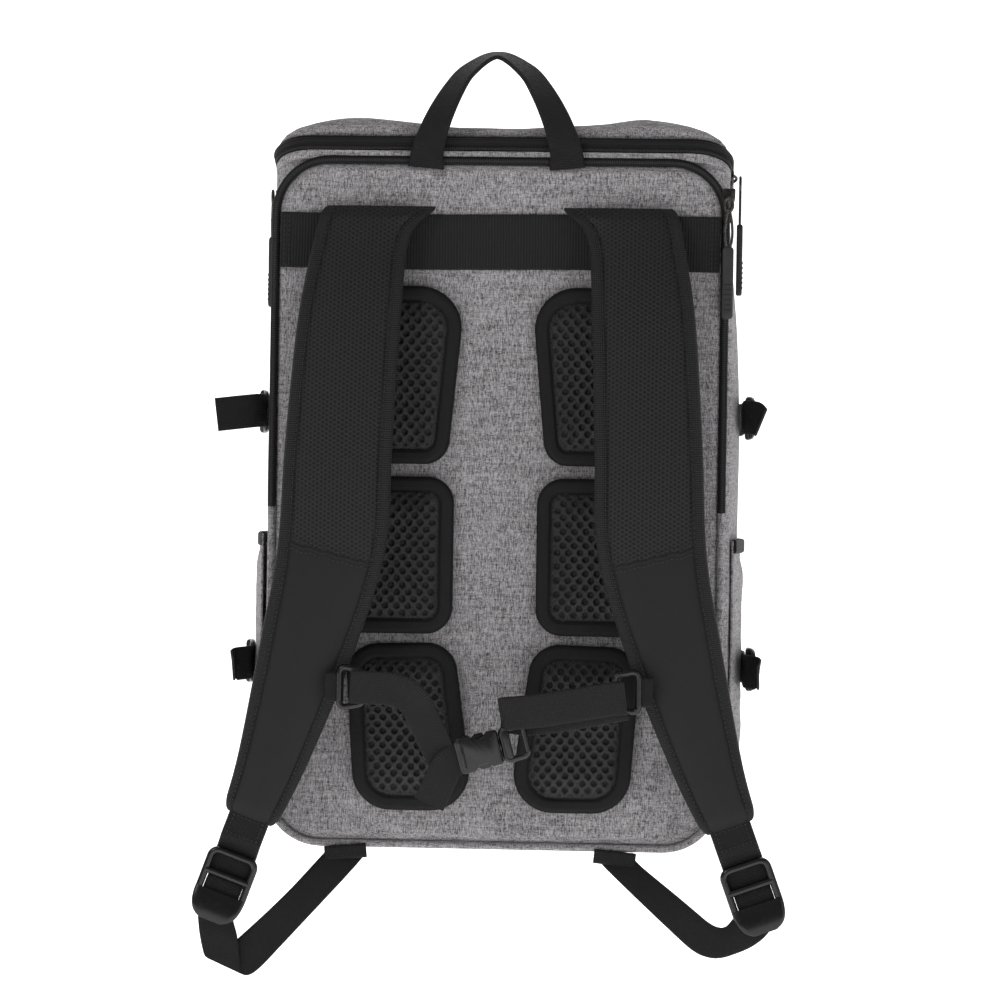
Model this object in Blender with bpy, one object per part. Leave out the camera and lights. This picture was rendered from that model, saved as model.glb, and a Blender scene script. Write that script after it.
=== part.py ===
"""Drone carrying backpack: a padded soft case with a zipped lid, worn on two straps.

Metres, +Z up. X runs along the width, the strap side faces -Y and the front pocket
faces +Y. The origin is the middle of the underside of the base.
"""
import math

import bmesh
import bpy
from mathutils import Matrix, Vector

# Overall sizes
PANEL_WIDTH = 0.330
PANEL_HEIGHT = 0.499
BODY_DEPTH = 0.150
POCKET_DEPTH = 0.040

# Clearance between two pieces that touch
GAP = 0.0003

# Walls
PANEL_THICKNESS = 0.012
PANEL_CORNER = 0.042
EDGE_WIDTH = 0.006
WALL = 0.006
SHEET_CORNER = 0.001
BASE_THICKNESS = 0.008
SHEET_THICKNESS = 0.002
SLEEVE_DEPTH = 0.021
DIVIDER_WALL = 0.004
PLAN_CORNER = 0.028
FOAM = 0.008
LINER_HEIGHT = 0.400
DIVIDER_HEIGHT = 0.360
CENTRE_BAY_WIDTH = 0.150

# Zip and lid
ZIP_SLOPE = math.radians(20)
TAPE_HEIGHT = 0.003
TAPE_THICKNESS = 0.003
BAND_HEIGHT = 0.009
LID_SIDE_HEIGHT = 0.007
LID_CROWN = 0.011

# Webbing
WEB_THICKNESS = 0.0018
SMALL_WEB = 0.025
STRAP_WEB = 0.030
TROLLEY_WEB = 0.040
TROLLEY_CENTRE = 0.4375

# Back pads
PAD_THICKNESS = 0.010
PAD_EDGE = 0.003

# Shoulder straps
STRAP_THICKNESS = 0.014
STRAP_EDGE = 0.003
STRAP_STAND_OFF = 0.040
STRAP_END_TILT = math.radians(20)
STRAP_END = (0.1715, 0.022)
STRAP_END_WIDTH = 0.040
TAB_LENGTH = 0.026
LOCK_WIDTH = 0.038
LOCK_LENGTH = 0.050
LOCK_THICKNESS = 0.005
LOCK_SLOT = 0.008

# Handle
HANDLE_SPREAD = 0.051
HANDLE_SHIFT = -0.003
HANDLE_FOOT = 0.491
HANDLE_CROWN = 0.571
HANDLE_THICKNESS = 0.0032
HANDLE_TWIST = math.radians(76)
HANDLE_LEAN = 0.006

# Chest buckle
BUCKLE_CENTRE = (0.005, 0.078)
BUCKLE_TILT = math.radians(15)
SOCKET_LENGTH = 0.031
BUCKLE_WIDTH = 0.026
BUCKLE_THICKNESS = 0.010
PLUG_PLATE = 0.0030
BUCKLE_CLEARANCE = 0.0004
CLIP_HEIGHT = 0.034
CLIP_WIDTH = 0.021
CLIP_THICKNESS = 0.004
CLIP_CENTRE = (0.097, 0.1185)

# Sliders and pulls
SLIDER_LENGTH = 0.016
SLIDER_WIDTH = 0.010
SLIDER_THICKNESS = 0.005
PULL_WIDTH = 0.008
PULL_THICKNESS = 0.0045
PULL_TAB_LENGTH = 0.052
PULL_RING_LENGTH = 0.034
PULL_RING_WIRE = 0.0016

# Side pockets and compression straps
SIDE_POCKET_HEIGHT = 0.225
SIDE_POCKET_BULGE = 0.013
SIDE_POCKET_WALL = 0.0025
UPPER_WEB_HEIGHT = 0.315
LOWER_WEB_HEIGHT = 0.130
FRONT_POCKET_WIDTH = 0.290
FRONT_POCKET_HEIGHT = 0.330
FRONT_POCKET_BASE = 0.030
FRONT_POCKET_EDGE = 0.014

REAR = -(BODY_DEPTH + POCKET_DEPTH) / 2
FRONT = REAR + BODY_DEPTH
SIDE = PANEL_WIDTH / 2
PANEL_BACK = REAR + PANEL_THICKNESS
ZIP_SET_IN = EDGE_WIDTH / 3
ZIP_REAR = PANEL_HEIGHT + GAP + TAPE_HEIGHT + (ZIP_SET_IN + TAPE_THICKNESS) * math.tan(ZIP_SLOPE)
SHEET_BACK = PANEL_BACK + GAP + SHEET_THICKNESS
DIVIDER_BACK = SHEET_BACK + SLEEVE_DEPTH
STRAP_BACK = REAR - 2 * GAP - WEB_THICKNESS


def clear_scene():
    for thing in list(bpy.data.objects):
        bpy.data.objects.remove(thing, do_unlink=True)


def finish(name, colour, roughness, metallic=0.0):
    made = bpy.data.materials.new(name)
    made.use_nodes = True
    shader = made.node_tree.nodes["Principled BSDF"]
    shader.inputs["Base Color"].default_value = (*colour, 1.0)
    shader.inputs["Roughness"].default_value = roughness
    shader.inputs["Metallic"].default_value = metallic
    return made


def place(name, mesh_data, material, turn=None, smooth=False):
    """Turn a bmesh into a named object with one material."""
    bmesh.ops.recalc_face_normals(mesh_data, faces=mesh_data.faces)
    if mesh_data.calc_volume(signed=True) < 0:
        bmesh.ops.reverse_faces(mesh_data, faces=mesh_data.faces)
    mesh = bpy.data.meshes.new(name)
    mesh_data.to_mesh(mesh)
    mesh_data.free()
    if turn is not None:
        mesh.transform(turn)
    mesh.materials.append(material)
    if smooth:
        mesh.shade_smooth()
        mesh.set_sharp_from_angle(angle=math.radians(35))
    made = bpy.data.objects.new(name, mesh)
    bpy.context.scene.collection.objects.link(made)
    return made


def loft(rings):
    """One closed body through rings that have the same number of points."""
    body = bmesh.new()
    loops = [[body.verts.new(point) for point in ring] for ring in rings]
    for lower, upper in zip(loops, loops[1:]):
        count = len(lower)
        for index in range(count):
            after = (index + 1) % count
            body.faces.new((lower[index], lower[after], upper[after], upper[index]))
    body.faces.new(loops[0][::-1])
    body.faces.new(loops[-1])
    return body


def hollow(outer_low, outer_high, inner_low, inner_high):
    """One closed ring-shaped body between an outer and an inner outline."""
    body = bmesh.new()
    loops = [[body.verts.new(point) for point in ring]
             for ring in (outer_low, outer_high, inner_high, inner_low)]
    for lower, upper in zip(loops, loops[1:] + loops[:1]):
        count = len(lower)
        for index in range(count):
            after = (index + 1) % count
            body.faces.new((lower[index], lower[after], upper[after], upper[index]))
    return body


def block(low, high):
    """A box between two corners."""
    ring = [(low[0], low[1]), (high[0], low[1]), (high[0], high[1]), (low[0], high[1])]
    return loft([[(x, y, low[2]) for x, y in ring], [(x, y, high[2]) for x, y in ring]])


def rounded(corners, steps=5):
    """An outline from (a, b, radius) corners, each turned into an arc."""
    outline = []
    count = len(corners)
    for index, (a, b, radius) in enumerate(corners):
        here = Vector((a, b))
        before = (Vector(corners[index - 1][:2]) - here).normalized()
        after = (Vector(corners[(index + 1) % count][:2]) - here).normalized()
        half = before.angle(after) / 2
        centre = here + (before + after).normalized() * (radius / math.sin(half))
        start = here + before * (radius / math.tan(half)) - centre
        finish_at = here + after * (radius / math.tan(half)) - centre
        for step in range(steps + 1):
            part = start.slerp(finish_at, step / steps).normalized() * radius
            outline.append((centre.x + part.x, centre.y + part.y))
    return outline


def in_panel_plane(outline, y):
    return [(a, y, b) for a, b in outline]


def panel_outline(inset):
    """The back panel's rounded rectangle, drawn in by an amount."""
    half = SIDE - inset
    radius = PANEL_CORNER - inset
    return rounded([(half, inset, radius), (half, PANEL_HEIGHT - inset, radius),
                    (-half, PANEL_HEIGHT - inset, radius), (-half, inset, radius)], 8)


def plan_outline(inset):
    """The bag's outline seen from above at the zip, drawn in by an amount."""
    half = SIDE - inset
    radius = PLAN_CORNER - inset
    low, high = REAR + ZIP_SET_IN + inset, FRONT - inset
    return rounded([(half, low, radius), (half, high, radius),
                    (-half, high, radius), (-half, low, radius)])


def zip_height(y):
    """Height of the zip's parting line, which slopes down to the front."""
    return ZIP_REAR - (y - REAR) * math.tan(ZIP_SLOPE)


def on_zip_plane(outline, above):
    return [(x, y, zip_height(y) + above) for x, y in outline]


def smooth_path(points, steps=4):
    """A smooth curve through the points, by Catmull-Rom pieces."""
    points = [Vector(point) for point in points]
    padded = [2 * points[0] - points[1]] + points + [2 * points[-1] - points[-2]]
    curve = []
    for a, b, c, d in zip(padded, padded[1:], padded[2:], padded[3:]):
        for step in range(steps):
            t = step / steps
            curve.append(0.5 * ((2 * b) + (c - a) * t + (2 * a - 5 * b + 4 * c - d) * t * t
                                + (3 * b - a - 3 * c + d) * t ** 3))
    return curve + [points[-1]]


def ribbon(stations, width, thickness):
    """Webbing: a flat section carried along (point, width direction) stations."""
    rings = []
    for index, (point, across) in enumerate(stations):
        before = stations[max(index - 1, 0)][0]
        after = stations[min(index + 1, len(stations) - 1)][0]
        along = (after - before).normalized()
        across = (across - across.dot(along) * along).normalized()
        normal = along.cross(across)
        rings.append([point + across * (side * width / 2) + normal * (face * thickness / 2)
                      for side, face in ((-1, -1), (1, -1), (1, 1), (-1, 1))])
    return loft(rings)


def cut(thing, cutters):
    """Cut each cutter's shape out of a piece."""
    for index, body in enumerate(cutters):
        cutter = place(f"{thing.name}_cutter_{index}", body, thing.data.materials[0])
        cutter.hide_render = True
        cutter.display_type = "WIRE"
        boolean = thing.modifiers.new("cut", "BOOLEAN")
        boolean.operation = "DIFFERENCE"
        boolean.object = cutter
    return thing


def standing_sheet(name, half, low, high, corner, span, material):
    """An upright sheet whose two lower corners are rounded; span is its range in y."""
    outline = rounded([(half, low, corner), (half, high, SHEET_CORNER),
                       (-half, high, SHEET_CORNER), (-half, low, corner)])
    return place(name, loft([in_panel_plane(outline, y) for y in span]), material, smooth=True)


def tray(name, half, low, corner, wall, floor, span, material):
    """A U-shaped sheet: a floor that turns up into both sides round its corners."""
    arc = 6
    outer = rounded([(half, low, corner), (half, low + 2 * corner, SHEET_CORNER),
                     (-half, low + 2 * corner, SHEET_CORNER), (-half, low, corner)], arc)
    inside = corner - floor
    inner = rounded([(half - wall, low + floor, inside), (half, low + 2 * corner, SHEET_CORNER),
                     (-half, low + 2 * corner, SHEET_CORNER), (-half + wall, low + floor, inside)], arc)
    section = outer[-arc - 1:] + outer[:arc + 1] + inner[:arc + 1][::-1] + inner[-arc - 1:][::-1]
    return place(name, loft([in_panel_plane(section, y) for y in span]), material, smooth=True)


def body_walls(grey, lining, foam, board):
    """Walls of the main compartment, the laptop sleeve and the padded inside."""
    base_top = BASE_THICKNESS + GAP
    wall_rear = PANEL_BACK + GAP
    for side, name in ((-1, "gusset_left"), (1, "gusset_right")):
        profile = [(wall_rear, PANEL_CORNER + GAP), (FRONT, PANEL_CORNER + GAP)]
        profile += [(y, zip_height(y) - TAPE_HEIGHT - GAP) for y in (FRONT, wall_rear)]
        place(name, loft([[(side * x, y, z) for y, z in profile]
                          for x in (SIDE - WALL, SIDE)]), grey)
    inner = SIDE - WALL - GAP
    inner_corner = PANEL_CORNER - BASE_THICKNESS
    tray("base_panel", SIDE, 0.0, PANEL_CORNER, WALL, BASE_THICKNESS, (wall_rear, FRONT), grey)
    front_top = zip_height(FRONT) - TAPE_HEIGHT - GAP
    standing_sheet("front_panel", inner, base_top, front_top, inner_corner,
                   (FRONT - WALL, FRONT), grey)
    place("back_panel", loft([in_panel_plane(panel_outline(EDGE_WIDTH + GAP), y)
                              for y in (REAR, PANEL_BACK)]), grey, smooth=True)
    place("panel_edge", hollow(in_panel_plane(panel_outline(0), REAR),
                               in_panel_plane(panel_outline(0), PANEL_BACK),
                               in_panel_plane(panel_outline(EDGE_WIDTH), REAR),
                               in_panel_plane(panel_outline(EDGE_WIDTH), PANEL_BACK)),
          lining, smooth=True)
    standing_sheet("frame_sheet", inner, base_top, LINER_HEIGHT, inner_corner,
                   (wall_rear, SHEET_BACK), board)
    standing_sheet("sleeve_wall", inner, base_top, LINER_HEIGHT, inner_corner,
                   (DIVIDER_BACK, DIVIDER_BACK + DIVIDER_WALL), lining)

    foam_rear = DIVIDER_BACK + DIVIDER_WALL + GAP
    foam_front = FRONT - WALL - GAP
    tray("base_foam", inner, base_top, inner_corner, FOAM, FOAM, (foam_rear, foam_front), foam)
    low = base_top + FOAM + GAP
    side_low = base_top + inner_corner + GAP
    for side, name in ((-1, "foam_liner_left"), (1, "foam_liner_right")):
        edges = sorted((side * inner, side * (inner - FOAM)))
        place(name, block((edges[0], foam_rear, side_low), (edges[1], foam_front, LINER_HEIGHT)), foam)
    bay = inner - FOAM - GAP
    bay_corner = inner_corner - FOAM
    standing_sheet("foam_liner_front", bay, low, LINER_HEIGHT, bay_corner,
                   (foam_front - FOAM, foam_front), foam)
    bay_front = foam_front - FOAM - GAP
    half = CENTRE_BAY_WIDTH / 2
    for side, name in ((-1, "divider_left"), (1, "divider_right")):
        edges = sorted((side * half, side * (half + FOAM)))
        place(name, block((edges[0], foam_rear, low), (edges[1], bay_front, DIVIDER_HEIGHT)), foam)
    middle = (foam_rear + bay_front) / 2
    near = half + FOAM + GAP
    outline = rounded([(bay, low, bay_corner), (bay, DIVIDER_HEIGHT, SHEET_CORNER),
                       (near, DIVIDER_HEIGHT, SHEET_CORNER), (near, low, SHEET_CORNER)])
    place("divider_cross", loft([in_panel_plane(outline, y)
                                 for y in (middle - FOAM / 2, middle + FOAM / 2)]), foam, smooth=True)


def zip_and_lid(grey, black):
    """The zip's two sides and the padded lid above it."""
    for name, low, high in (("body_zip_tape", -TAPE_HEIGHT, 0.0),
                            ("lid_zip_band", GAP, BAND_HEIGHT)):
        place(name, hollow(on_zip_plane(plan_outline(0), low), on_zip_plane(plan_outline(0), high),
                           on_zip_plane(plan_outline(TAPE_THICKNESS), low),
                           on_zip_plane(plan_outline(TAPE_THICKNESS), high)), black, smooth=True)
    low = BAND_HEIGHT + GAP
    levels = ((0.0, 0.0), (0.0, LID_SIDE_HEIGHT), (0.25, 0.62), (0.60, 0.92), (0.95, 1.0))
    rings = [on_zip_plane(plan_outline(0), low)]
    for inset, rise in levels[1:]:
        height = low + LID_SIDE_HEIGHT + (rise * LID_CROWN if inset else 0.0)
        rings.append(on_zip_plane(plan_outline(inset * PLAN_CORNER), height))
    place("lid_panel", loft(rings), grey, smooth=True)


def back_pads(mesh_black):
    """Six raised air-mesh pads on the back panel."""
    shapes = {
        "upper": [(0.0235, 0.405, 0.030), (0.112, 0.405, 0.014),
                  (0.112, 0.277, 0.020), (0.0355, 0.277, 0.018)],
        "middle": [(0.0300, 0.268, 0.019), (0.115, 0.268, 0.014),
                   (0.115, 0.155, 0.020), (0.0300, 0.155, 0.019)],
        "lower": [(0.0285, 0.149, 0.014), (0.1065, 0.147, 0.018),
                  (0.0985, 0.028, 0.022), (0.0120, 0.028, 0.022)],
    }
    top = REAR - GAP - PAD_THICKNESS
    for row, corners in shapes.items():
        centre = sum((Vector(corner[:2]) for corner in corners), Vector((0, 0))) / len(corners)
        for side, name in ((-1, "left"), (1, "right")):
            outline = [(side * a, b) for a, b in rounded(corners)]
            middle = Vector((side * centre.x, centre.y))
            inner = [tuple(Vector(p) + (middle - Vector(p)).normalized() * PAD_EDGE)
                     for p in outline]
            place(f"air_pad_{row}_{name}", loft([in_panel_plane(outline, REAR - GAP),
                                                 in_panel_plane(outline, top + PAD_EDGE),
                                                 in_panel_plane(inner, top)]),
                  mesh_black, smooth=True)


def strap_stations(side):
    """Rings of a shoulder strap from its sewn top down to its padded end."""
    hang = STRAP_BACK - STRAP_THICKNESS / 2
    shape = [(0.462, 0.000, 0.0430, 0.1270), (0.440, 0.007, 0.0630, 0.1320),
             (0.380, 0.024, 0.0680, 0.1415), (0.290, 0.037, 0.0715, 0.1480),
             (0.215, 0.040, 0.0750, 0.1520), (0.144, 0.036, 0.0970, 0.1640),
             (0.065, 0.026, 0.1300, 0.1795)]
    path = [(z, -out / 0.040 * STRAP_STAND_OFF, (inner + outer) / 2, (outer - inner) / 2)
            for z, out, inner, outer in shape]
    curve = smooth_path([(x, y, z) for z, y, x, _ in path])
    widths = smooth_path([(half, 0, 0) for *_, half in path])
    stations = []
    for index, (point, half) in enumerate(zip(curve, widths)):
        tilt = STRAP_END_TILT * max(0.0, (index - 0.6 * len(curve)) / (0.4 * len(curve)))
        stations.append((Vector((point.x, hang + point.y, point.z)), tilt, half.x,
                         STRAP_THICKNESS))
    end = strap_end()
    stations.append((end, STRAP_END_TILT, STRAP_END_WIDTH / 2, STRAP_THICKNESS * 0.8))
    along = strap_end_direction()
    for run in (0.001, TAB_LENGTH):
        stations.append((end + along * run, STRAP_END_TILT, STRAP_WEB / 2, 2 * WEB_THICKNESS))
    rings = []
    for centre, tilt, half, thick in stations:
        across = Vector((math.cos(tilt), 0, math.sin(tilt)))
        edge = min(STRAP_EDGE, thick / 3)
        rings.append([centre + across * a + Vector((0, b, 0)) for a, b in (
            (-half, -thick / 2 + edge), (-half + edge, -thick / 2), (half - edge, -thick / 2),
            (half, -thick / 2 + edge), (half, thick / 2 - edge), (half - edge, thick / 2),
            (-half + edge, thick / 2), (-half, thick / 2 - edge))])
    return [[(side * x, y, z) for x, y, z in ring] for ring in rings]


def strap_end():
    return Vector((STRAP_END[0], STRAP_BACK - STRAP_THICKNESS / 2 - 0.45 * STRAP_STAND_OFF,
                   STRAP_END[1]))


def strap_end_direction():
    return Vector((math.sin(STRAP_END_TILT), 0, -math.cos(STRAP_END_TILT)))


def lock_plate(name, material, turn, width, length, thickness):
    """A ladder lock: a rounded plate with two slots, lying in local X and Z."""
    corner = width / 8
    outline = rounded([(width / 2, -length / 2, corner), (width / 2, length / 2, corner),
                       (-width / 2, length / 2, corner), (-width / 2, -length / 2, corner)], 3)
    made = place(name, loft([in_panel_plane(outline, y) for y in (-thickness / 2, thickness / 2)]),
                 material)
    slot = width / 2 - corner
    cutters = [block((-slot, -thickness, centre - LOCK_SLOT / 2),
                     (slot, thickness, centre + LOCK_SLOT / 2))
               for centre in (-length / 4, length / 5)]
    for body in cutters:
        body.transform(turn)
    made.data.transform(turn)
    return cut(made, cutters)


def shoulder_straps(padding, webbing, plastic):
    """Both padded straps with their locks and the loose webbing below them."""
    for side, name in ((-1, "left"), (1, "right")):
        place(f"strap_{name}", loft(strap_stations(side)), padding, smooth=True)
        centre = strap_end() + strap_end_direction() * (TAB_LENGTH + GAP + LOCK_LENGTH / 2)
        turn = (Matrix.Translation((side * centre.x, centre.y, centre.z))
                @ Matrix.Rotation(-side * STRAP_END_TILT, 4, "Y"))
        lock_plate(f"ladder_lock_{name}", plastic, turn, LOCK_WIDTH, LOCK_LENGTH, LOCK_THICKNESS)
    behind = strap_end().y + LOCK_THICKNESS / 2 + GAP + WEB_THICKNESS / 2
    rest = REAR - GAP - WEB_THICKNESS / 2 - 0.0005
    routes = {
        "left": [(-0.191, behind, -0.032), (-0.193, behind, -0.052), (-0.189, behind + 0.002, -0.073),
                 (-0.175, behind + 0.006, -0.080), (-0.158, behind + 0.008, -0.067),
                 (-0.130, rest - 0.004, -0.034), (-0.107, rest, -0.009), (-0.097, rest, 0.010)],
        "right": [(0.191, behind, -0.032), (0.184, behind, -0.048), (0.170, behind + 0.004, -0.060),
                  (0.152, behind + 0.008, -0.060), (0.135, rest - 0.007, -0.045),
                  (0.113, rest - 0.003, -0.021), (0.098, rest, -0.004), (0.091, rest, 0.010)],
    }
    for name, route in routes.items():
        path = smooth_path(route)
        stations = []
        for index, point in enumerate(path):
            along = path[min(index + 1, len(path) - 1)] - path[max(index - 1, 0)]
            stations.append((point, along.cross(Vector((0, 1, 0)))))
        place(f"lower_web_{name}", ribbon(stations, STRAP_WEB * 0.8, WEB_THICKNESS), webbing)


def chest_strap(webbing, plastic):
    """The chest strap: rail clips, two webs and the side-release buckle."""
    strap_face = STRAP_BACK - STRAP_THICKNESS - 0.92 * STRAP_STAND_OFF
    clip_y = strap_face - 2 * GAP - 0.0012 - CLIP_THICKNESS
    web_y = clip_y + CLIP_THICKNESS / 2 - GAP - WEB_THICKNESS / 2 - CLIP_THICKNESS / 2
    buckle_y = web_y - 0.001
    turn = (Matrix.Translation((BUCKLE_CENTRE[0], buckle_y, BUCKLE_CENTRE[1]))
            @ Matrix.Rotation(-BUCKLE_TILT, 4, "Y"))
    for side, name in ((-1, "left"), (1, "right")):
        x, z = side * CLIP_CENTRE[0], CLIP_CENTRE[1]
        tall, wide = CLIP_HEIGHT / 2, CLIP_WIDTH / 2
        outline = rounded([(x + side * wide, z - tall, 0.003), (x + side * wide, z + tall, 0.003),
                           (x - side * wide, z + tall * 0.7, 0.003),
                           (x - side * wide, z - tall * 0.7, 0.003)], 3)
        place(f"chest_clip_{name}", loft([in_panel_plane(outline, y)
                                          for y in (clip_y, clip_y + CLIP_THICKNESS)]), plastic)

    length, wide, thick = SOCKET_LENGTH, BUCKLE_WIDTH / 2, BUCKLE_THICKNESS / 2
    mouth, blind = 0.004, 0.010
    socket = place("buckle_socket", block((mouth - length, -thick, -wide), (mouth, thick, wide)),
                   plastic, turn)
    cavity = PLUG_PLATE / 2 + BUCKLE_CLEARANCE
    chamber = block((mouth - length + blind, -cavity, -wide - mouth), (2 * mouth, cavity, wide + mouth))
    chamber.transform(turn)
    cut(socket, [chamber])

    plate = PLUG_PLATE / 2
    shoulder = mouth + BUCKLE_CLEARANCE
    plug_end = shoulder + 0.020
    tongue = 0.0035
    tip = mouth - length + blind + BUCKLE_CLEARANCE
    outline = [(tip, -tongue), (shoulder, -tongue), (shoulder, -wide), (plug_end, -wide * 0.9),
               (plug_end, wide * 0.9), (shoulder, wide), (shoulder, tongue), (tip, tongue)]
    plug = place("buckle_plug", loft([in_panel_plane(outline, y) for y in (-plate, plate)]),
                 plastic, turn)
    slot = block((plug_end - 0.009, -thick, -wide * 0.78), (plug_end - 0.004, thick, wide * 0.78))
    slot.transform(turn)
    cut(plug, [slot])
    for side, name in ((-1, "lower"), (1, "upper")):
        outline = [(shoulder - GAP, 0.0062), (tip + 0.002, 0.0062), (tip + 0.001, 0.0095),
                   (tip + 0.004, 0.0125), (tip + 0.010, 0.0125), (tip + 0.011, 0.0085),
                   (shoulder - GAP, 0.0085)]
        place(f"buckle_prong_{name}", loft([in_panel_plane([(a, side * b) for a, b in outline], y)
                                            for y in (-plate, plate)]), plastic, turn)

    along_buckle = turn.to_3x3() @ Vector((1, 0, 0))
    socket_end = turn @ Vector((mouth - length - GAP, 0, 0))
    across_buckle = turn.to_3x3() @ Vector((0, 0, 1))
    clip_edge = CLIP_CENTRE[0] - CLIP_WIDTH / 2
    left = [(Vector((-clip_edge - 0.012, web_y, CLIP_CENTRE[1])), Vector((0, 0, 1))),
            (Vector((-0.060, web_y, 0.1165)), Vector((0, 0, 1))),
            (Vector((-0.049, web_y, 0.108)), Vector((0.55, 0, 1))),
            (Vector((-0.041, web_y, 0.088)), Vector((0.6, 0, 0.8))),
            (socket_end - along_buckle * 0.012, across_buckle),
            (socket_end - along_buckle * 0.004, across_buckle), (socket_end, across_buckle)]
    place("chest_web_left", ribbon(left, SMALL_WEB * 0.9, WEB_THICKNESS), webbing)
    start = turn @ Vector((plug_end + GAP, 0, 0.004))
    right = [(start, across_buckle), (start + along_buckle * 0.006, across_buckle),
             (start + along_buckle * 0.016, Vector((-0.3, 0, 1))),
             (Vector((0.060, web_y, 0.1015)), Vector((-0.25, 0, 1))),
             (Vector((clip_edge + 0.012, web_y, CLIP_CENTRE[1] - 0.006)), Vector((-0.1, 0, 1)))]
    place("chest_web_right", ribbon(right, SMALL_WEB * 0.9, WEB_THICKNESS), webbing)


def trolley_band(webbing):
    """The wide webbing sewn across the back panel under the straps' tops."""
    half = SIDE - EDGE_WIDTH - 2 * GAP
    low, high = TROLLEY_CENTRE - TROLLEY_WEB / 2, TROLLEY_CENTRE + TROLLEY_WEB / 2
    place("trolley_band", block((-half, REAR - GAP - WEB_THICKNESS, low),
                                (half, REAR - GAP, high)), webbing)


def grab_handle(webbing):
    """A webbing arch whose ends lie flat and whose crown is turned edge-on."""
    plane = REAR - GAP - HANDLE_THICKNESS / 2 - 0.0005
    half = [(HANDLE_SPREAD, HANDLE_FOOT), (0.97 * HANDLE_SPREAD, HANDLE_FOOT + 0.018),
            (0.84 * HANDLE_SPREAD, HANDLE_CROWN - 0.046), (0.63 * HANDLE_SPREAD, HANDLE_CROWN - 0.025),
            (0.40 * HANDLE_SPREAD, HANDLE_CROWN - 0.010)]
    route = [(-x, 0, z) for x, z in half] + [(0, 0, HANDLE_CROWN)]
    route += [(x, 0, z) for x, z in half[::-1]]
    path = smooth_path(route, 3)
    stations = []
    for index, point in enumerate(path):
        along = path[min(index + 1, len(path) - 1)] - path[max(index - 1, 0)]
        share = min(1.0, abs(point.x) / (0.95 * HANDLE_SPREAD))
        twist = HANDLE_TWIST * math.sqrt(1 - share)
        lean = HANDLE_LEAN * (point.z - HANDLE_FOOT) / (HANDLE_CROWN - HANDLE_FOOT)
        side_on = along.cross(Vector((0, 1, 0))).normalized()
        stations.append((Vector((point.x + HANDLE_SHIFT, plane - lean, point.z)),
                         side_on * math.cos(twist) + Vector((0, 1, 0)) * math.sin(twist)))
    place("grab_handle", ribbon(stations, SMALL_WEB * 0.9, HANDLE_THICKNESS), webbing, smooth=True)


def side_pockets(stretch, webbing, plastic):
    """Stretch pockets, compression straps and their locks on both gussets."""
    near = SIDE + GAP
    rear, front = PANEL_BACK + 0.008, FRONT - 0.008
    span = front - rear
    low = PANEL_CORNER + GAP

    def bow(bulge, inset, back_off):
        points = [(near - back_off, rear + inset)]
        count = 10
        for index in range(count + 1):
            y = rear + inset + (span - 2 * inset) * index / count
            points.append((near + 0.003 + bulge * math.sin(math.pi * index / count), y))
        points.append((near - back_off, front - inset))
        return points

    for side, name in ((-1, "left"), (1, "right")):
        outer = bow(SIDE_POCKET_BULGE - 0.003, 0.0, 0.0)
        wall = place(f"side_pocket_{name}", loft([[(side * x, y, z) for x, y in outer]
                                                  for z in (low, SIDE_POCKET_HEIGHT)]),
                     stretch, smooth=True)
        inner = bow(SIDE_POCKET_BULGE - 0.003 - SIDE_POCKET_WALL, SIDE_POCKET_WALL, 0.002)
        cut(wall, [loft([[(side * x, y, z) for x, y in inner]
                         for z in (low + SIDE_POCKET_WALL, SIDE_POCKET_HEIGHT + 0.01)])])
        for row, height, offset in (("upper", UPPER_WEB_HEIGHT, 0.0),
                                    ("lower", LOWER_WEB_HEIGHT, SIDE_POCKET_BULGE + GAP)):
            face = near + offset + WEB_THICKNESS / 2
            reach = SIDE + (0.041 if (row, name) == ("upper", "left") else 0.025)
            route = [(reach, PANEL_BACK + 0.010), (face + 0.008, PANEL_BACK + 0.014),
                     (face + 0.002, PANEL_BACK + 0.021), (face, PANEL_BACK + 0.030),
                     (face, FRONT - 0.010)]
            path = smooth_path([(side * x, y, height) for x, y in route], 3)
            place(f"side_web_{row}_{name}",
                  ribbon([(point, Vector((0, 0, 1))) for point in path], SMALL_WEB, WEB_THICKNESS),
                  webbing)
            outward = face + WEB_THICKNESS / 2 + GAP + LOCK_THICKNESS / 2
            turn = (Matrix.Translation((side * outward, PANEL_BACK + 0.060, height))
                    @ Matrix.Rotation(math.pi / 2, 4, "Z") @ Matrix.Rotation(math.pi / 2, 4, "Y"))
            lock_plate(f"side_lock_{row}_{name}", plastic, turn, SMALL_WEB + 0.007,
                       0.034, LOCK_THICKNESS)


def front_pocket(grey):
    """The flat zipped pocket on the front."""
    half, low = FRONT_POCKET_WIDTH / 2, FRONT_POCKET_BASE
    high = low + FRONT_POCKET_HEIGHT
    edge = FRONT_POCKET_EDGE

    def outline(inset):
        return rounded([(half - inset, low + inset, 0.03), (half - inset, high - inset, 0.03),
                        (-half + inset, high - inset, 0.03), (-half + inset, low + inset, 0.03)])

    place("front_pocket", loft([in_panel_plane(outline(0), FRONT + GAP),
                                in_panel_plane(outline(0), FRONT + POCKET_DEPTH - edge),
                                in_panel_plane(outline(edge * 0.3), FRONT + POCKET_DEPTH - edge * 0.3),
                                in_panel_plane(outline(edge), FRONT + POCKET_DEPTH)]),
          grey, smooth=True)


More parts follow.
